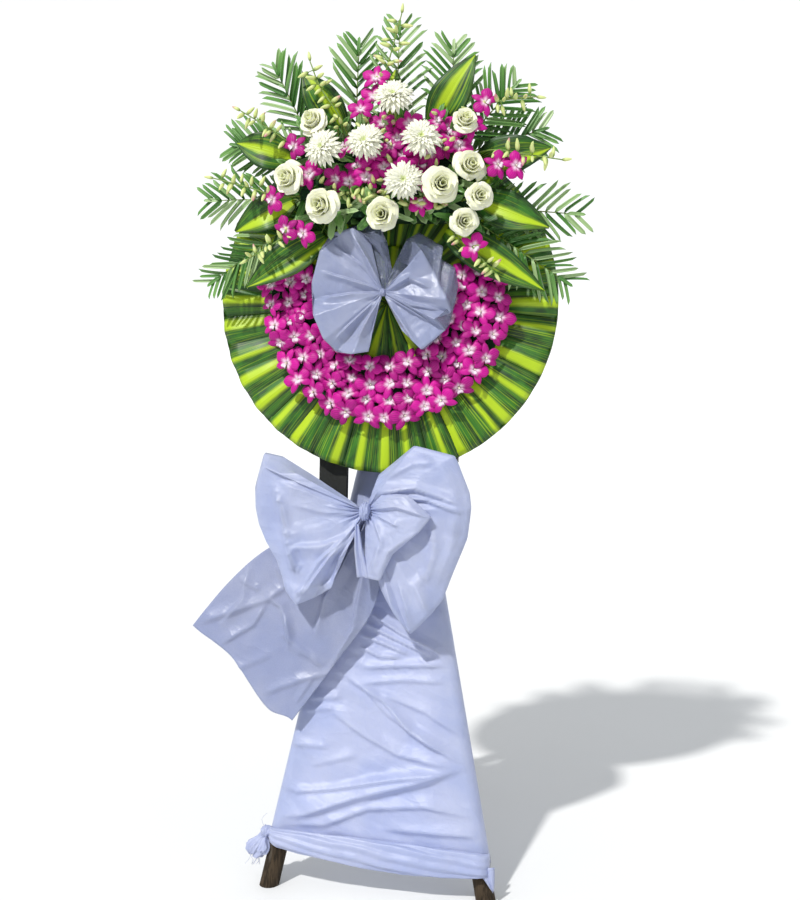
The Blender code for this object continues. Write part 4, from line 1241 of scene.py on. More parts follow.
class WREATH_OT_striped_leaves(bpy.types.Operator):
    """Spread the large striped leaves of the spray"""

    bl_idname = "wreath.striped_leaves"
    bl_label = "Striped leaves"

    def execute(self, context):
        for number, (base, tip, width) in enumerate(STRIPED_LEAVES, 1):
            self.leaf(number, at(*base), at(*tip), width)
        return {"FINISHED"}

    def leaf(self, number, base, tip, width):
        along = tip - base
        side = along.cross(at(0, 0, 1)).normalized()
        phase = number * 2.1

        def place(s, t):
            across = 2 * t - 1
            spread = width / 2 * max(0.05, math.sin(math.pi * min(s * 0.94 + 0.06, 1) ** 0.82) ** 0.85)
            arch = 0.012 * math.sin(math.pi * s)
            channel = 0.007 * abs(across) ** 0.8 * math.sin(math.pi * s)
            wave = 0.0035 * math.sin(8 * s + phase) * across * s
            wave += 0.002 * math.sin(15 * s + phase) * across**2
            return base + along * s + side * across * spread + at(0, 0, arch + channel + wave)

        made = walled(blade(28, 12, place, tone=(number * 0.377) % 1.0), 0.0009)
        root = foam_root(base.x, base.z, -base.y)
        stalk = stalks([(root, (root + base) / 2, base + along * 0.10)], LEAF_STALK, taper=0.6)
        name = f"striped_leaf_{number}"
        pieces = [painted(made, "striped_leaf"), painted(stalk, "bud")]
        settled(joined(name, pieces), name + "_blade", "striped_leaf", name)


class WREATH_OT_fronds(bpy.types.Operator):
    """Grow leaflets in two rows along each frond's rib, and fill the foam with short leaves"""

    bl_idname = "wreath.fronds"
    bl_label = "Palm fronds"

    def execute(self, context):
        foliage = context.scene.wreath_foliage

        def place(s, t):
            across = 2 * t - 1
            half = 0.5 * min(1.0, 0.35 + 5 * s) * (1 - 0.20 * s) * max(0.0, 1 - s**14) ** 0.5
            return Vector((s, across * half, 0.16 * abs(across) * half - 0.10 * s**2))

        leaflet = walled(blade(8, 4, place), LEAFLET_WALL)
        for number, tip in enumerate(PALM_FRONDS, 1):
            self.frond(number, tip, leaflet, foliage)
        self.filler(leaflet, foliage)
        bpy.data.objects.remove(leaflet)
        return {"FINISHED"}

    def frond(self, number, place, leaflet, foliage):
        tip = at(*place)
        root = foam_root(*place)
        along = (tip - root).normalized()
        length = (tip - root).length
        rib = Route([root, root.lerp(tip, 0.5) + at(0, 0, 0.008), tip + at(0, 0, -0.006)])
        bare = 0.010 + min(STEM_DEPTH / max(abs(way), 1e-6) for way in (along.x, along.z))
        draw = random.Random(number)
        roll = draw.uniform(-0.45, 0.45)
        front = at(0, 0, 1)
        side = along.cross(front).normalized() * math.cos(roll) + front * math.sin(roll)
        lean = draw.uniform(0.60, 0.85)
        places = []
        low = 4 if place[1] < 0.10 else 0
        pairs = foliage.leaflet_pairs + low
        for step in range(pairs):
            share = step / (pairs - 1)
            spot = rib((bare + share * (length - bare - 0.022)) / length)
            reach = 0.030 + 0.062 * math.sin(math.pi * (0.22 + 0.66 * share))
            for hand in (-1, 1):
                way = along * (lean + 0.55 * share + draw.uniform(-0.13, 0.13)) + side * hand
                way += front * draw.uniform(-0.10, 0.12)
                long = reach * draw.uniform(0.82, 1.08)
                wide = foliage.leaflet_width * draw.uniform(0.75, 1.15) * (0.85 if low else 1)
                places.append(self.laid(spot, way, long, wide, draw.uniform(-0.8, 0.8)))
        places.append(self.laid(tip - along * 0.034, along, 0.036, foliage.leaflet_width * 0.8))
        name = f"palm_frond_{number}"
        leaflets = copies(name, places, leaflet, "palm", number)
        stalk = stalks([[rib(step / 6) for step in range(7)]], SPRAY_STEM, taper=0.45)
        settled(joined(name, [leaflets, painted(stalk, "bud")]), name + "_leaflets", "palm", name)

    def laid(self, spot, way, length, width, roll=0.0):
        """A leaflet laid from a spot along way, flat to the front or rolled a little."""
        way = way.normalized()
        across = at(0, 0, 1).cross(way).normalized()
        turn = Matrix((way, across, way.cross(across))).transposed().to_4x4()
        size = Matrix.Diagonal((length, width, length, 1))
        return Matrix.Translation(spot) @ turn @ Matrix.Rotation(roll, 4, "X") @ size

    def filler(self, leaflet, foliage):
        """Short leaves that stand close together all over the foam and hide it."""
        draw = random.Random(21)
        places = []
        for number in range(230):
            right = draw.uniform(-FOAM_HALF_WIDTH, FOAM_HALF_WIDTH)
            up = draw.uniform(FOAM_BOTTOM, FOAM_TOP)
            out = draw.uniform(0.050, FOAM_FRONT + 0.006)
            size = draw.uniform(0.045, 0.075)
            if number % 3:
                spot = at(right, up, FOAM_FRONT - 0.002)
                way = at(draw.uniform(-1, 1) + 3 * right, draw.uniform(-1, 1) + 3 * (up - 0.245), 0.45)
            elif number % 4:
                spot = at(right, FOAM_TOP, out)
                way = at(draw.uniform(-0.6, 0.6) + 3 * right, 1, draw.uniform(-0.1, 0.4))
            else:
                spot = at(right, FOAM_BOTTOM, out)
                way = at(draw.uniform(-1, 1) + 3 * right, -0.3, draw.uniform(0.5, 1.0))
                size *= 0.6
            places.append(self.laid(spot, way, size, draw.uniform(0.012, 0.020), draw.uniform(-0.6, 0.6)))
        made = copies("filler", places, leaflet, "palm", 8)
        settled(made, "foam_filler_leaves", "palm")


def bud_size(size, length=TUCKED_BUD_LENGTH):
    return BUD_WIDTH * size, BUD_WIDTH * size, length * size


def bud_shape():
    """A closed bud of length 1 along +Z, fuller at its foot and a little hooked."""

    def shape(unit):
        share = (unit.z + 1) / 2
        narrow = 1 - 0.42 * share**1.5
        return Vector((unit.x * narrow, unit.y * narrow + 0.42 * share**2, unit.z))

    return body(0.30, 0.30, 0.5, shape, 10, 8)


class WREATH_OT_sprays(bpy.types.Operator):
    """Arch the sprays of orchids and buds over the foliage"""

    bl_idname = "wreath.sprays"
    bl_label = "Orchid sprays"

    def execute(self, context):
        flowers = context.scene.wreath_flowers
        bud = bud_shape()
        for number, (path, blooms, buds) in enumerate(ORCHID_SPRAYS, 1):
            self.spray(number, [at(*place) for place in path], blooms, buds, bud, flowers)
        bpy.data.objects.remove(bud)
        return {"FINISHED"}

    def spray(self, number, path, blooms, buds, bud, flowers):
        stem = Route(path)
        line = [stem(step / 40) for step in range(41)]
        line = [point for point in line if -point.y > FOAM_FRONT + 0.004]
        twigs = []
        opened = []
        for place in blooms:
            centre = at(*place)
            towards = at(place[0], place[1] - SPRAY_MIDDLE, 0.8).normalized()
            nearest = min(line, key=lambda point: (point - centre).length)
            bend = nearest.lerp(centre, 0.5) - towards * 0.006
            twigs.append((nearest, bend, centre - towards * 0.004))
            size = flowers.orchid_radius * 0.92
            opened.append(facing(centre, towards, place[0] * 5, (size,) * 3))
            line.append(centre)
        closed = []
        for place in (*buds, *self.more_buds(number, stem)):
            middle = at(*place)
            nearest = min(line, key=lambda point: (point - middle).length)
            way = (middle - nearest).normalized() if (middle - nearest).length > 1e-4 else at(0, 0, 1)
            foot = middle - way * 0.010
            twigs.append((nearest, nearest.lerp(foot, 0.5) + at(0, 0, 0.001), foot + way * 0.002))
            size = 0.80 + 0.26 * ((len(closed) * 0.37) % 1)
            closed.append(facing(middle, way, number, bud_size(size, BUD_LENGTH)))
        name = f"orchid_spray_{number}"
        pieces = [
            painted(stalks([path], SPRAY_STEM, taper=0.6, sides=8), "bud"),
            painted(stalks(twigs, TWIG), "bud"),
            copies("buds", closed, bud, "bud", number),
        ]
        if opened:
            pieces.append(copies("opened", opened, shop["orchid_shape"], "orchid", number))
        settled(joined(name, pieces), name + "_flowers", "orchid_spray", name)

    def more_buds(self, number, stem):
        """Further buds, left and right of the outer part of a spray's stem."""
        if number == len(ORCHID_SPRAYS):
            return []
        draw = random.Random(number + 40)
        places = []
        for step in range(9):
            spot = stem(0.46 + 0.055 * step)
            hand = 1 if step % 2 else -1
            turn = draw.uniform(0, 1)
            spot += at(hand * 0.017 * turn, 0.015 * (1 - turn) * hand, draw.uniform(0.004, 0.012))
            places.append((spot.x, spot.z, -spot.y))
        return places


# Blooms and buds tucked in among the heads, as (right, up)
TUCKED_BLOOMS = mm((
    (-40, 376), (24, 302), (74, 300), (-68, 300), (-12, 282), (62, 252), (-46, 262), (20, 236),
    (104, 284), (144, 322), (188, 338), (162, 302), (130, 304), (88, 186), (-90, 238), (118, 350),
    (-144, 246),
))


class WREATH_OT_tucked(bpy.types.Operator):
    """Tuck blooms in among the heads, and a fringe of buds along the lower edge"""

    bl_idname = "wreath.tucked"
    bl_label = "Tucked blooms and fringe"

    def execute(self, context):
        flowers = context.scene.wreath_flowers
        draw = random.Random(12)
        opened, closed, stems = [], [], []
        for right, up in TUCKED_BLOOMS:
            spot = at(right, up, 0.140 + draw.uniform(-0.006, 0.010))
            towards = at(1.5 * right + draw.uniform(-0.4, 0.4), up - 0.24 + draw.uniform(-0.4, 0.4), 0.8)
            towards.normalize()
            size = flowers.orchid_radius * draw.uniform(0.82, 0.98)
            opened.append(facing(spot, towards, draw.uniform(0, 6), (size,) * 3))
            root = foam_root(right, up, FOAM_FRONT - STEM_DEPTH)
            stems.append((root, root.lerp(spot, 0.6), spot - towards * 0.003))
        for number in range(46):
            right = -0.092 + 0.242 * number / 45
            up = 0.197 + draw.uniform(-0.022, 0.018)
            spot = at(right, up, 0.136 + draw.uniform(-0.010, 0.012))
            root = foam_root(right + draw.uniform(-0.02, 0.02), up + 0.02, FOAM_FRONT - STEM_DEPTH)
            way = at(draw.uniform(-0.8, 0.8), draw.uniform(-1.0, 0.4), 0.5).normalized()
            size = draw.uniform(0.80, 1.05)
            closed.append(facing(spot, way, number, bud_size(size)))
            stems.append((root, root.lerp(spot, 0.7) + at(0, 0.004, 0), spot - way * 0.009))
        for number in range(44):
            right, up = draw.uniform(-0.135, 0.170), draw.uniform(0.205, 0.365)
            spot = at(right, up, 0.152 + draw.uniform(-0.012, 0.012))
            way = at(draw.uniform(-0.7, 0.7), draw.uniform(-0.6, 0.8), 0.7).normalized()
            root = foam_root(right, up - 0.01, FOAM_FRONT - STEM_DEPTH)
            size = draw.uniform(0.75, 1.0)
            closed.append(facing(spot, way, number, bud_size(size)))
            stems.append((root, root.lerp(spot, 0.6), spot - way * 0.009))
        bud = bud_shape()
        pieces = [
            copies("tucked", opened, shop["orchid_shape"], "orchid", 5),
            copies("fringe", closed, bud, "bud", 6),
            painted(stalks(stems, TWIG), "bud"),
        ]
        bpy.data.objects.remove(bud)
        settled(joined("tucked_flowers", pieces), "tucked_flowers", "orchid_spray")
        return {"FINISHED"}


# Cloth


class Fold(Line):
    """A broken line with its corners a little rounded."""

    def __init__(self, places, soft=0.004):
        super().__init__([Vector(place) for place in places])
        self.soft = soft

    def __call__(self, share):
        near = [self.point(share + self.soft * shift) for shift in (-1, -0.5, 0, 0.5, 1)]
        return sum(near, Vector((0, 0, 0))) / len(near)


class Creases:
    """Ridges along lines (right, up) on the cloth, each steep below and gentle above."""

    # How much narrower the steep side is, and the share of a ridge that each end fades over
    steep, fade = 2.6, 0.22

    def __init__(self, creases):
        self.creases = []
        for line, height, width in creases:
            line = [Vector(place) for place in line]
            ups = [place.y for place in line]
            total = Line(line).reach[-1]
            self.creases.append((line, height, width, total, min(ups) - width, max(ups) + width))

    def __call__(self, spot):
        return sum(self.lift(spot, *crease) for crease in self.creases)

    def lift(self, spot, line, height, width, total, low, high):
        if not low < spot.y < high:
            return 0.0
        best, side, along, walked = math.inf, 1.0, 0.0, 0.0
        for start, end in zip(line, line[1:]):
            way = end - start
            part = clamp((spot - start).dot(way) / way.length_squared)
            away = spot - start - way * part
            if away.length < best:
                best, side, along = away.length, way.cross(away), walked + part * way.length
            walked += way.length
        if side < 0:
            best *= self.steep
        share = along / total
        ends = ease(share, -0.02, self.fade) * ease(1 - share, -0.02, self.fade)
        return height * ends * max(0.0, 1 - best / width) ** 1.5


def level(reach, stops):
    """The value between stops of (reach, value)."""
    for (low, first), (high, last) in zip(stops, stops[1:]):
        if reach <= high:
            return first + (last - first) * ease(reach, low, high)
    return stops[-1][1]


def knot_of_cloth(place, size, finish):
    """A tight knot with folds that run down over it."""

    def shape(unit):
        fold = crisp(unit.x * 2.2 + 0.35 * ripple(unit.x, unit.z * 1.5, 3.0))
        return unit * (1 + 0.10 * fold + 0.22 * ripple(unit.x * 2, unit.y * 2, unit.z * 2))

    made = body(*size, shape, 48, 28, sheer=0.0)
    made.data.transform(Matrix.Translation(at(*place)))
    return painted(made, finish)


def cloth_blade(along, across, place, finish="cloth", **values):
    """A blade in one of the cloth's finishes, as thick as the cloth."""
    thickness = bpy.context.scene.wreath_cloth.thickness
    return painted(walled(blade(along, across, place, **values), thickness), finish)


def loop_of_cloth(knot, front, back, swell, creases, gather, seed):
    """A band that leaves the knot in front, turns round at its rim and comes back behind it."""
    knot, ahead, behind, creased = Vector(knot), Fold(front), Fold(back), Creases(creases)

    def place(s, t):
        reach = min(1.0, (1 - abs(2 * s - 1)) / 0.94)
        turn = ease(s, 0.47, 0.53)
        face = 1 - 2 * turn
        spot = knot.lerp(ahead(t).lerp(behind(t), turn), 0.02 + 0.98 * reach)
        lift = level(reach, swell) * max(face, 0.6 * face) * (1 - 0.7 * abs(2 * t - 1) ** 3)
        lift += creased(spot.to_2d()) * (0.4 + 0.6 * face) * ease(reach, 0.02, 0.10)
        pleats = crisp(t * 7 + 0.9 * ripple(t * 4, reach * 1.5, seed))
        pleats *= 1 - ease(reach, 0.08, 0.30 + 0.25 * ripple(t * 9, seed, 1.0))
        lift += gather * pleats * ease(reach, 0.02, 0.08)
        lift += 0.0034 * ripple(t * 5, reach * 4, seed + 3) * ease(reach, 0.2, 0.6)
        lift += 0.0030 * abs(ripple(t * 9 + reach * 5, reach * 8 - t * 4, seed + 6)) * ease(reach, 0.2, 0.5)
        return at(spot.x, spot.y, spot.z + lift)

    return place


CENTRE_KNOT_OUT = 0.098
CENTRE_SWELL = ((0, 0), (0.4, 0.004), (1, 0))
CENTRE_LEFT = (
    mm(((-22, 120, 100), (-54, 140, 124), (-104, 134, 100), (-124, 96, 118), (-144, 30, 100), (-143, -4, 90),
     (-134, -40, 120), (-112, -88, 116), (-88, -112, 92), (-52, -117, 118), (-20, -110, 100))),
    mm(((24, 52, 88), (14, 112, 96), (-6, 153, 86), (-50, 152, 96), (-112, 132, 84), (-128, 90, 92),
     (-147, 30, 86), (-145, -4, 82), (-132, -46, 92), (-110, -92, 86), (-72, -112, 84), (-22, -108, 88))),
    CENTRE_SWELL,
    mm((
        (((6, 10), (-60, 6), (-131, -4)), 14, 15),
        (((4, 16), (-126, 54)), 10, 12),
        (((4, 26), (-23, 78), (-59, 135)), 12, 11),
        (((2, 2), (-90, -86)), 12, 12),
        (((4, 0), (-44, -90)), 10, 10),
        (((4, -2), (-16, -88)), 9, 9),
        (((-30, 60), (-100, 110)), 8, 11),
    )),
    0.0015,
    2.0,
)
CENTRE_RIGHT = (
    mm(((60, 66, 104), (90, 94, 124), (110, 52, 104), (140, -4, 120), (148, -30, 100), (116, -44, 124),
     (138, -64, 100), (92, -106, 118), (48, -66, 100))),
    mm(((30, 78, 86), (54, 122, 94), (78, 136, 88), (130, 106, 96), (121, 84, 84), (155, 64, 94),
     (161, 30, 86), (157, -4, 92), (145, -52, 86), (116, -84, 90), (92, -106, 86), (34, -44, 88))),
    CENTRE_SWELL,
    mm((
        (((16, 14), (60, 40), (110, 18)), 12, 13),
        (((14, 20), (59, 73), (87, 91)), 10, 11),
        (((16, 10), (70, -16), (130, -24)), 11, 11),
        (((16, 4), (105, -48)), 12, 11),
        (((14, 0), (84, -104)), 11, 11),
    )),
    0.0015,
    5.0,
)

LOWER_LOOPS = (
    (
        mm(((-176, -364, 62), (-216, -366, 64), (-250, -354, 52), (-266, -400, 48), (-266, -440, 44),
         (-258, -480, 44), (-240, -514, 50), (-212, -556, 54), (-194, -616, 58), (-170, -642, 68),
         (-136, -628, 50), (-96, -604, 60))),
        mm(((-178, -368, 48), (-216, -330, 22), (-258, -322, 18), (-274, -394, 28), (-272, -438, 30),
         (-262, -478, 28), (-244, -514, 28), (-218, -554, 26), (-198, -604, 24), (-176, -622, 24),
         (-136, -606, 22), (-100, -584, 22))),
        ((0, 0), (0.30, 0.012), (0.66, 0.018), (0.82, 0.008), (1, 0)),
        mm((
            (((-57, -490), (-115, -516), (-190, -521)), 12, 26),
            (((-51, -500), (-77, -536), (-93, -600)), 12, 14),
            (((-54, -496), (-96, -536), (-147, -612)), 13, 18),
            (((-58, -490), (-122, -548), (-173, -632)), 11, 20),
            (((-202, -596), (-170, -618), (-96, -592)), 9, 18),
            (((-228, -380), (-205, -447), (-192, -512), (-180, -559), (-150, -580)), 22, 20),
            (((-186, -430), (-110, -446), (-40, -444)), 6, 26),
            (((-60, -446), (-150, -404), (-220, -384)), 6, 20),
            (((-180, -470), (-174, -530)), 6, 16),
            (((-250, -400), (-252, -450), (-232, -500)), 6, 14),
        )),
        0.0035,
        11.0,
    ),
    (
        mm(((-6, -364, 30), (70, -300, 40), (158, -320, 50), (190, -398, 48), (195, -428, 60),
         (186, -492, 44), (158, -564, 50), (136, -624, 40), (112, -654, 56), (70, -698, 40),
         (38, -652, 58), (4, -600, 40))),
        mm(((-10, -370, 14), (68, -306, 14), (154, -324, 18), (186, -400, 18), (190, -430, 20),
         (182, -490, 18), (154, -560, 18), (132, -616, 16), (108, -644, 16), (72, -672, 14),
         (46, -640, 14), (10, -596, 12))),
        ((0, 0), (0.35, 0.012), (0.85, 0.012), (1, 0)),
        mm((
            (((-22, -404), (75, -390), (190, -426)), 14, 22),
            (((2, -410), (99, -413), (182, -440)), 11, 14),
            (((110, -446), (118, -510), (108, -560), (60, -602)), 14, 24),
            (((158, -440), (152, -519), (120, -590)), 9, 20),
            (((2, -602), (28, -650), (66, -695)), 9, 14),
            (((44, -584), (63, -637), (70, -690)), 10, 14),
            (((82, -592), (110, -650)), 10, 20),
            (((10, -372), (70, -340), (120, -336)), 6, 24),
        )),
        0.0030,
        14.0,
    ),
    (
        mm(((8, -402, 50), (64, -402, 72), (116, -446, 86), (92, -478, 84), (36, -526, 74), (8, -584, 72),
         (-26, -580, 56))),
        mm(((10, -408, 40), (62, -410, 52), (108, -446, 56), (88, -472, 56), (34, -518, 50), (6, -572, 46),
         (-22, -570, 40))),
        ((0, 0), (0.40, 0.010), (0.85, 0.010), (1, 0)),
        mm((
            (((-18, -436), (38, -428), (112, -446)), 10, 18),
            (((90, -474), (26, -520), (4, -574)), 10, 16),
            (((-14, -446), (10, -500), (-14, -572)), 8, 16),
            (((-12, -444), (50, -470)), 6, 16),
        )),
        0.0035,
        17.0,
    ),
)
TAIL_CREASES = mm((
    (((-218, -706), (-164, -748), (-116, -782)), 10, 16),
    (((-260, -846), (-168, -808), (-80, -784)), 7, 22),
    (((-410, -700), (-352, -678), (-248, -640), (-184, -592)), 9, 30),
    (((-352, -742), (-276, -694), (-244, -640)), 8, 24),
    (((-250, -632), (-216, -652), (-192, -728)), 9, 20),
    (((-64, -520), (-120, -632), (-140, -716)), 12, 26),
    (((-36, -560), (-56, -690), (-110, -784)), 10, 18),
    (((-312, -596), (-262, -622)), 7, 14),
    (((-206, -660), (-196, -738), (-150, -764)), 7, 18),
    (((-330, -800), (-230, -756)), 5, 24),
    (((-290, -560), (-300, -640), (-350, -700)), 6, 22),
    (((-230, -560), (-190, -640)), 7, 20),
    (((-180, -860), (-140, -800)), 5, 16),
))
SKIRT_CREASES = mm((
    (((-100, -786), (8, -848), (68, -912), (185, -974)), 14, 26),
    (((-116, -868), (-28, -924), (44, -960), (172, -982)), 12, 30),
    (((-44, -816), (20, -880), (140, -950)), 8, 18),
    (((-225, -1036), (-176, -1052), (-100, -1040), (12, -1016), (150, -992)), 9, 18),
    (((-236, -1112), (-156, -1096), (-52, -1056), (72, -1020), (196, -976)), 18, 44),
    (((-240, -1124), (-112, -1116), (-20, -1076), (104, -1064), (215, -1084)), 11, 30),
    (((-50, -780), (52, -772), (145, -768)), 9, 20),
    (((-56, -816), (40, -804), (146, -804)), 7, 18),
    (((-40, -656), (40, -704), (112, -736), (144, -764)), 13, 20),
    (((-44, -684), (16, -712), (110, -750)), 10, 16),
    (((-50, -710), (4, -728), (60, -750)), 10, 16),
    (((-50, -736), (-4, -756), (46, -754)), 9, 14),
    (((-156, -852), (-80, -844)), 6, 22),
    (((-166, -880), (-96, -868)), 6, 20),
    (((-200, -952), (-106, -952)), 6, 22),
    (((-12, -828), (100, -868), (182, -918)), 8, 26),
    (((-150, -994), (-40, -964)), 5, 26),
    (((0, -1116), (225, -1122)), 8, 28),
    (((-130, -1128), (12, -1144), (225, -1160)), 8, 24),
))


class WREATH_OT_centre_bow(bpy.types.Operator):
    """Fold the two stiff fans of the bow on the disc"""

    bl_idname = "wreath.centre_bow"
    bl_label = "Centre bow"

    def execute(self, context):
        knot = (*CENTRE_KNOT, CENTRE_KNOT_OUT)
        # The knot and fans are sheer cloth, painted darker as shade.
        pieces = [knot_of_cloth(knot, (0.006, 0.011, 0.008), "sheer_cloth")]
        for loop in (CENTRE_LEFT, CENTRE_RIGHT):
            place = loop_of_cloth(knot, *loop)
            pieces.append(cloth_blade(60, 190, place, "sheer_cloth", sheer=self.sheer))
        tie = stalks([[at(*CENTRE_KNOT, out) for out in (0.012, 0.05, 0.092)]], 0.006, sides=8)
        pieces.append(painted(tie, "cloth"))
        bow = settled(joined("centre_bow", pieces), "centre_bow_cloth", "cloth", "centre_bow")
        return {"FINISHED"}

    def sheer(self, s, t):
        """A fan lets light through behind its rim, and is painted darker there as shade."""
        return 0.08 + 0.92 * ease(s, 0.468, 0.486)


class WREATH_OT_lower_bow(bpy.types.Operator):
    """Tie the large bow under the disc, with its knot and its tail"""

    bl_idname = "wreath.lower_bow"
    bl_label = "Lower bow"

    def execute(self, context):
        knot = (*LOWER_KNOT, 0.040)
        pieces = [knot_of_cloth((*LOWER_KNOT, 0.050), (0.012, 0.018, 0.019), "cloth")]
        for loop in LOWER_LOOPS:
            pieces.append(cloth_blade(58, 180, loop_of_cloth(knot, *loop)))
        # The tail is sheer cloth: a little see-through, and painted darker as shade.
        pieces.append(cloth_blade(110, 100, self.tail(), "sheer_cloth", sheer=0.2))
        pieces.append(cloth_blade(24, 8, self.strip()))
        right, up = LOWER_KNOT
        tie = stalks([(at(right, up - 0.008, 0.042), at(right, up - 0.039, -0.0505))], 0.007, sides=10)
        pieces.append(painted(tie, "cloth"))
        bow = settled(joined("lower_bow", pieces), "lower_bow_cloth", "cloth", "lower_bow")
        return {"FINISHED"}

    def tail(self):
        """The broad end that hangs to the left, with creases across it."""
        left, right, creased = Route(TAIL_LEFT), Route(TAIL_RIGHT), Creases(TAIL_CREASES)

        def place(s, t):
            flat = left(s).lerp(right(s), t)
            flat.y += level(t, TAIL_END) * ease(s, 0.70, 1.0)
            gather = (1 - ease(s, 0.05, 0.40)) * ease(s, 0.0, 0.06)
            depth = 0.009 * gather * crisp(t * 5 + 0.4 * ripple(t * 3, s * 2, 31.0))
            depth += creased(flat.to_2d()) + 0.007 * ripple(t * 2.2, s * 2.4, 33.0) * ease(s, 0.1, 0.4)
            depth += 0.0025 * ripple(t * 8, s * 9, 35.0) * ease(s, 0.1, 0.4)
            return at(flat.x, flat.y, 0.008 + 0.026 * (1 - ease(s, 0.0, 0.34)) + depth)

        return place

    def strip(self):
        """The narrow end of the tie."""
        line = Fold(((-0.046, -0.466, 0.052), (-0.040, -0.520, 0.060), (-0.028, -0.580, 0.058)), 0.05)

        def place(s, t):
            middle = line(s)
            wide = 0.004 + 0.010 * s
            return at(middle.x + (t - 0.5) * wide * 2, middle.y, middle.z + 0.005 * crisp(t * 1.5 + 0.3))

        return place


# Skirt


class WREATH_OT_skirt(bpy.types.Operator):
    """Drape the cloth round the front poles, with creases, a rolled hem and a knotted corner"""

    bl_idname = "wreath.skirt"
    bl_label = "Skirt"

    top = -0.358
    hem_left = -1.140
    hem_right = -1.180
    # A front pole's top, header and foot, its radius at the top, and the cloth's distance from it
    top_right, foot_right = 0.0205, 0.236
    top_up, header_up, foot_up = -0.200, -0.335, -1.262
    header_out, foot_out = -0.0895, -0.020
    pole_radius, widening, pole_reach = 0.018, 0.003, 0.0036
    # The share of the cloth that goes round each pole, and its first angle and turn there
    wrap, wrap_start, wrap_turn = 0.17, math.radians(-60), math.radians(150)

    def execute(self, context):
        self.creased = Creases(SKIRT_CREASES)
        skirt = settled(cloth_blade(150, 215, self.place), "skirt_cloth", "cloth", "skirt")
        hem = settled(painted(self.hem(), "cloth"), "skirt_hem", "cloth")
        corner = settled(self.corners(), "skirt_corner", "cloth")
        legs, rolled = ["leg_left", "leg_right"], [hem, corner]
        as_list(legs)
        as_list(rolled)
        return {"FINISHED"}

    def pole(self, up):
        """A front pole's distance from the middle, its out and its radius at a height."""
        part = (self.top_up - up) / (self.top_up - self.foot_up)
        slope = (self.foot_out - self.header_out) / (self.foot_up - self.header_up)
        right = self.top_right + part * (self.foot_right - self.top_right)
        return right, self.header_out + (up - self.header_up) * slope, self.pole_radius + part * self.widening

    def edge(self, s, up):
        """The cloth's place (right, out) round one pole, across and round the other."""
        right, out, radius = self.pole(up)
        reach = radius + self.pole_reach
        if s < self.wrap or s > 1 - self.wrap:
            hand = -1 if s < 0.5 else 1
            angle = self.wrap_start + min(s, 1 - s) / self.wrap * self.wrap_turn
            return hand * (right + reach * math.cos(angle)), out + reach * math.sin(angle)
        share = (s - self.wrap) / (1 - 2 * self.wrap)
        return right * (2 * share - 1), out + reach

    def place(self, s, t):
        hem = self.hem_left + (self.hem_right - self.hem_left) * math.sin(math.pi / 2 * s)
        up = self.top + t * (hem - self.top)
        right, out = self.edge(s, up)
        inner = ease(s, 0.16, 0.30) * ease(1 - s, 0.16, 0.30)
        lower = ease(-up, 0.5, 0.62)
        depth = self.creased(Vector((right, up))) * ease(s, 0.02, 0.20) * ease(1 - s, 0.02, 0.20)
        depth *= ease(1 - t, 0.0, 0.08)
        swell = 0.005 * ripple(right * 6, up * 5, 3.0) + 0.003 * abs(ripple(right * 14, up * 20, 5.0))
        ridges = 0.003 * abs(ripple(right * 9 + up * 6, up * 34 + right * 8, 8.0))
        return at(right, up, out + 0.005 * inner + depth + (swell + ridges) * lower * (0.15 + 0.85 * inner))

    def hem(self):
        """The rolled hem: long twisted folds of cloth that thicken to the right."""

        def place(s, t):
            spot = self.place(0.10 + 0.82 * s, 1.0)
            tall = 0.008 + 0.023 * math.sin(math.pi * (0.06 + 0.78 * s)) ** 0.8
            angle = math.tau * t
            strand = 1 + 0.17 * crisp(8 * t + 2.4 * s + 0.35 * ripple(s * 6, 2 * math.cos(angle), 4.0))
            strand += 0.05 * ripple(s * 22, 2 * math.sin(angle), 9.0)
            out = 0.007 + 0.2 * tall + math.cos(angle) * (0.005 + 0.34 * tall) * strand
            return spot + at(0, math.sin(angle) * tall * (0.5 + 0.5 * strand), out)

        return welded(blade(150, 64, place), 1e-5, True)

    def corners(self):
        """The left corner, knotted round the pole with its tuft and threads, and the thin right one."""
        right, out, radius = self.pole(self.hem_left)
        corner = at(-right - radius - 0.012, self.hem_left - 0.004, out + 0.012)
        tuft_end = corner + at(-0.030, -0.052, 0.002)
        knot = knot_of_cloth((corner.x, corner.z, -corner.y), (0.013, 0.014, 0.013), "cloth")
        tuft = bundle(corner, tuft_end, 0.021, 7, 2.0)
        small_tuft = bundle(corner, corner + at(-0.008, -0.046, 0.012), 0.014, 5, 6.0)
        pieces = [knot, tuft, small_tuft]
        draw = random.Random(6)
        threads = []
        for _ in range(11):
            start = corner.lerp(tuft_end, 0.95)
            start += at(draw.uniform(-0.014, 0.014), 0, draw.uniform(-0.006, 0.006))
            bend = start + at(draw.uniform(-0.010, 0.012), -0.012, draw.uniform(-0.004, 0.004))
            threads.append((start, bend, bend + at(draw.uniform(-0.012, 0.010), -0.012, 0)))
        threads.append((corner, corner + at(-0.010, 0.026, 0.004), corner + at(0.002, 0.040, 0.004)))
        pieces.append(stalks(threads, THREAD, sides=4))
        low = self.place(0.84, 1.0)

        def flap(s, t):
            reach = low + at(0.012 + 0.018 * s, -0.002 - 0.054 * s, 0.010 - 0.006 * s)
            return reach + at((t - 0.5) * 0.040 * (1 - s) ** 0.8, 0, 0.003 * crisp(t * 2))

        pieces.append(cloth_blade(10, 8, flap))
        return painted(joined("corner", pieces), "cloth")


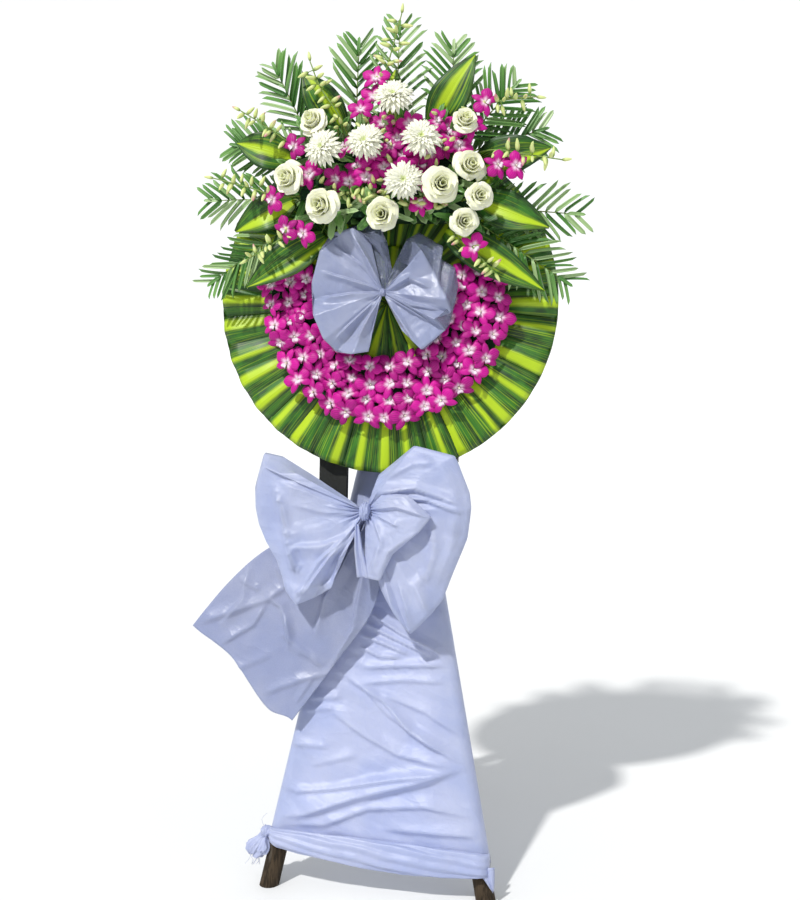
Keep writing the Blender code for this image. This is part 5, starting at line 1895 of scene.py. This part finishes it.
def bundle(start, end, wide, pleats, seed):
    """Gathered cloth that flares from its tie to its ragged end."""
    way = end - start
    side = way.cross(at(0, 0, 1)).normalized()
    front = side.cross(way).normalized()
    swell = ((0, 0.30), (0.20, 0.45), (0.70, 1.0), (0.92, 0.85), (1, 0.25))

    def place(s, t):
        angle = math.tau * t
        fold = crisp(pleats * t + 0.5 * ripple(s * 2, 3 * math.cos(angle), seed))
        radius = wide * level(s, swell) * (1 + 0.26 * fold)
        length = s * (1 + 0.14 * ripple(2 * math.cos(angle), 2 * math.sin(angle), seed))
        return start + way * length + (side * math.cos(angle) + front * 0.8 * math.sin(angle)) * radius

    return welded(blade(24, 56, place), 1e-5, True)


# Stage


class WREATH_OT_stage(bpy.types.Operator):
    """Lay the pale floor and its sweep, and set the lights and the camera"""

    bl_idname = "wreath.stage"
    bl_label = "Floor, light and camera"

    def execute(self, context):
        look = context.scene.wreath_stage
        self.sweep()
        self.lights(context.scene, look)
        self.camera(context.scene, look)
        context.scene.view_settings.view_transform = "Standard"
        return {"FINISHED"}

    def sweep(self):
        """A floor that curves up into a wall behind."""
        half, front, flat, rise, radius = 7.0, -6.0, 5.6, 4.6, 1.2

        def place(s, t):
            across = (2 * t - 1) * half
            if s < 0.6:
                return Vector((across, front + (flat - front) * s / 0.6, 0))
            if s < 0.8:
                angle = (s - 0.6) / 0.2 * math.pi / 2
                return Vector((across, flat + radius * math.sin(angle), radius * (1 - math.cos(angle))))
            return Vector((across, flat + radius, radius + (rise - radius) * (s - 0.8) / 0.2))

        painted(blade(60, 2, place, "studio_sweep"), "floor")

    def lights(self, scene, look):
        """A high sun in front, a little to the left, and an even sky."""
        sun = bpy.data.lights.new("sun", "SUN")
        sun.energy = look.sun
        sun.angle = math.radians(2.5)
        sun.color = (1.0, 0.985, 0.95)
        towards_sun = Vector((-0.30, -0.62, 0.80))
        linked(sun, "sun").rotation_euler = towards_sun.to_track_quat("Z", "Y").to_euler()
        world = bpy.data.worlds.new("studio")
        world.use_nodes = True
        background = world.node_tree.nodes["Background"]
        background.inputs["Color"].default_value = (0.94, 0.97, 1.0, 1)
        background.inputs["Strength"].default_value = look.sky
        scene.world = world

    def camera(self, scene, look):
        centre = LEANING.to_translation()
        lens = bpy.data.cameras.new("camera")
        lens.lens = 56
        lens.sensor_width = 36
        camera = linked(lens, "camera")
        azimuth, distance = look.camera_azimuth, look.camera_distance
        camera.location = (
            centre.x + distance * math.sin(azimuth),
            centre.y - distance * math.cos(azimuth),
            look.camera_height,
        )
        yaw, pitch = look.camera_yaw, look.camera_pitch
        level_way = Vector((-math.sin(yaw), math.cos(yaw), 0)) * math.cos(pitch)
        ahead = level_way - Vector((0, 0, math.sin(pitch)))
        camera.rotation_euler = ahead.to_track_quat("-Z", "Y").to_euler()
        scene.camera = camera


class WREATH_PT_panel(bpy.types.Panel):
    """The wreath's steps, in order"""

    bl_label = "Funeral Wreath"
    bl_space_type = "VIEW_3D"
    bl_region_type = "UI"
    bl_category = "Wreath"

    def draw(self, context):
        for step in STEPS:
            self.layout.operator(step.bl_idname)
        for key in SETTINGS:
            group = getattr(context.scene, key)
            box = self.layout.box()
            for name in group.__annotations__:
                box.prop(group, name)


SETTINGS = {
    "wreath_foliage": FoliageSettings,
    "wreath_flowers": FlowerSettings,
    "wreath_cloth": ClothSettings,
    "wreath_stand": StandSettings,
    "wreath_stage": StageSettings,
}
STEPS = (
    WREATH_OT_stage,
    WREATH_OT_stand,
    WREATH_OT_collar,
    WREATH_OT_orchid_bank,
    WREATH_OT_roses,
    WREATH_OT_chrysanthemums,
    WREATH_OT_striped_leaves,
    WREATH_OT_fronds,
    WREATH_OT_sprays,
    WREATH_OT_tucked,
    WREATH_OT_skirt,
    WREATH_OT_centre_bow,
    WREATH_OT_lower_bow,
)


def register():
    for made in (*SETTINGS.values(), *STEPS, WREATH_PT_panel):
        bpy.utils.register_class(made)
    for key, group in SETTINGS.items():
        setattr(bpy.types.Scene, key, PointerProperty(type=group))


def unregister():
    for key in SETTINGS:
        delattr(bpy.types.Scene, key)
    for made in reversed((*SETTINGS.values(), *STEPS, WREATH_PT_panel)):
        bpy.utils.unregister_class(made)


def main():
    register()
    for step in STEPS:
        family, name = step.bl_idname.split(".")
        getattr(getattr(bpy.ops, family), name)()
    bpy.data.objects.remove(shop["orchid_shape"])


if __name__ == "__main__":
    main()
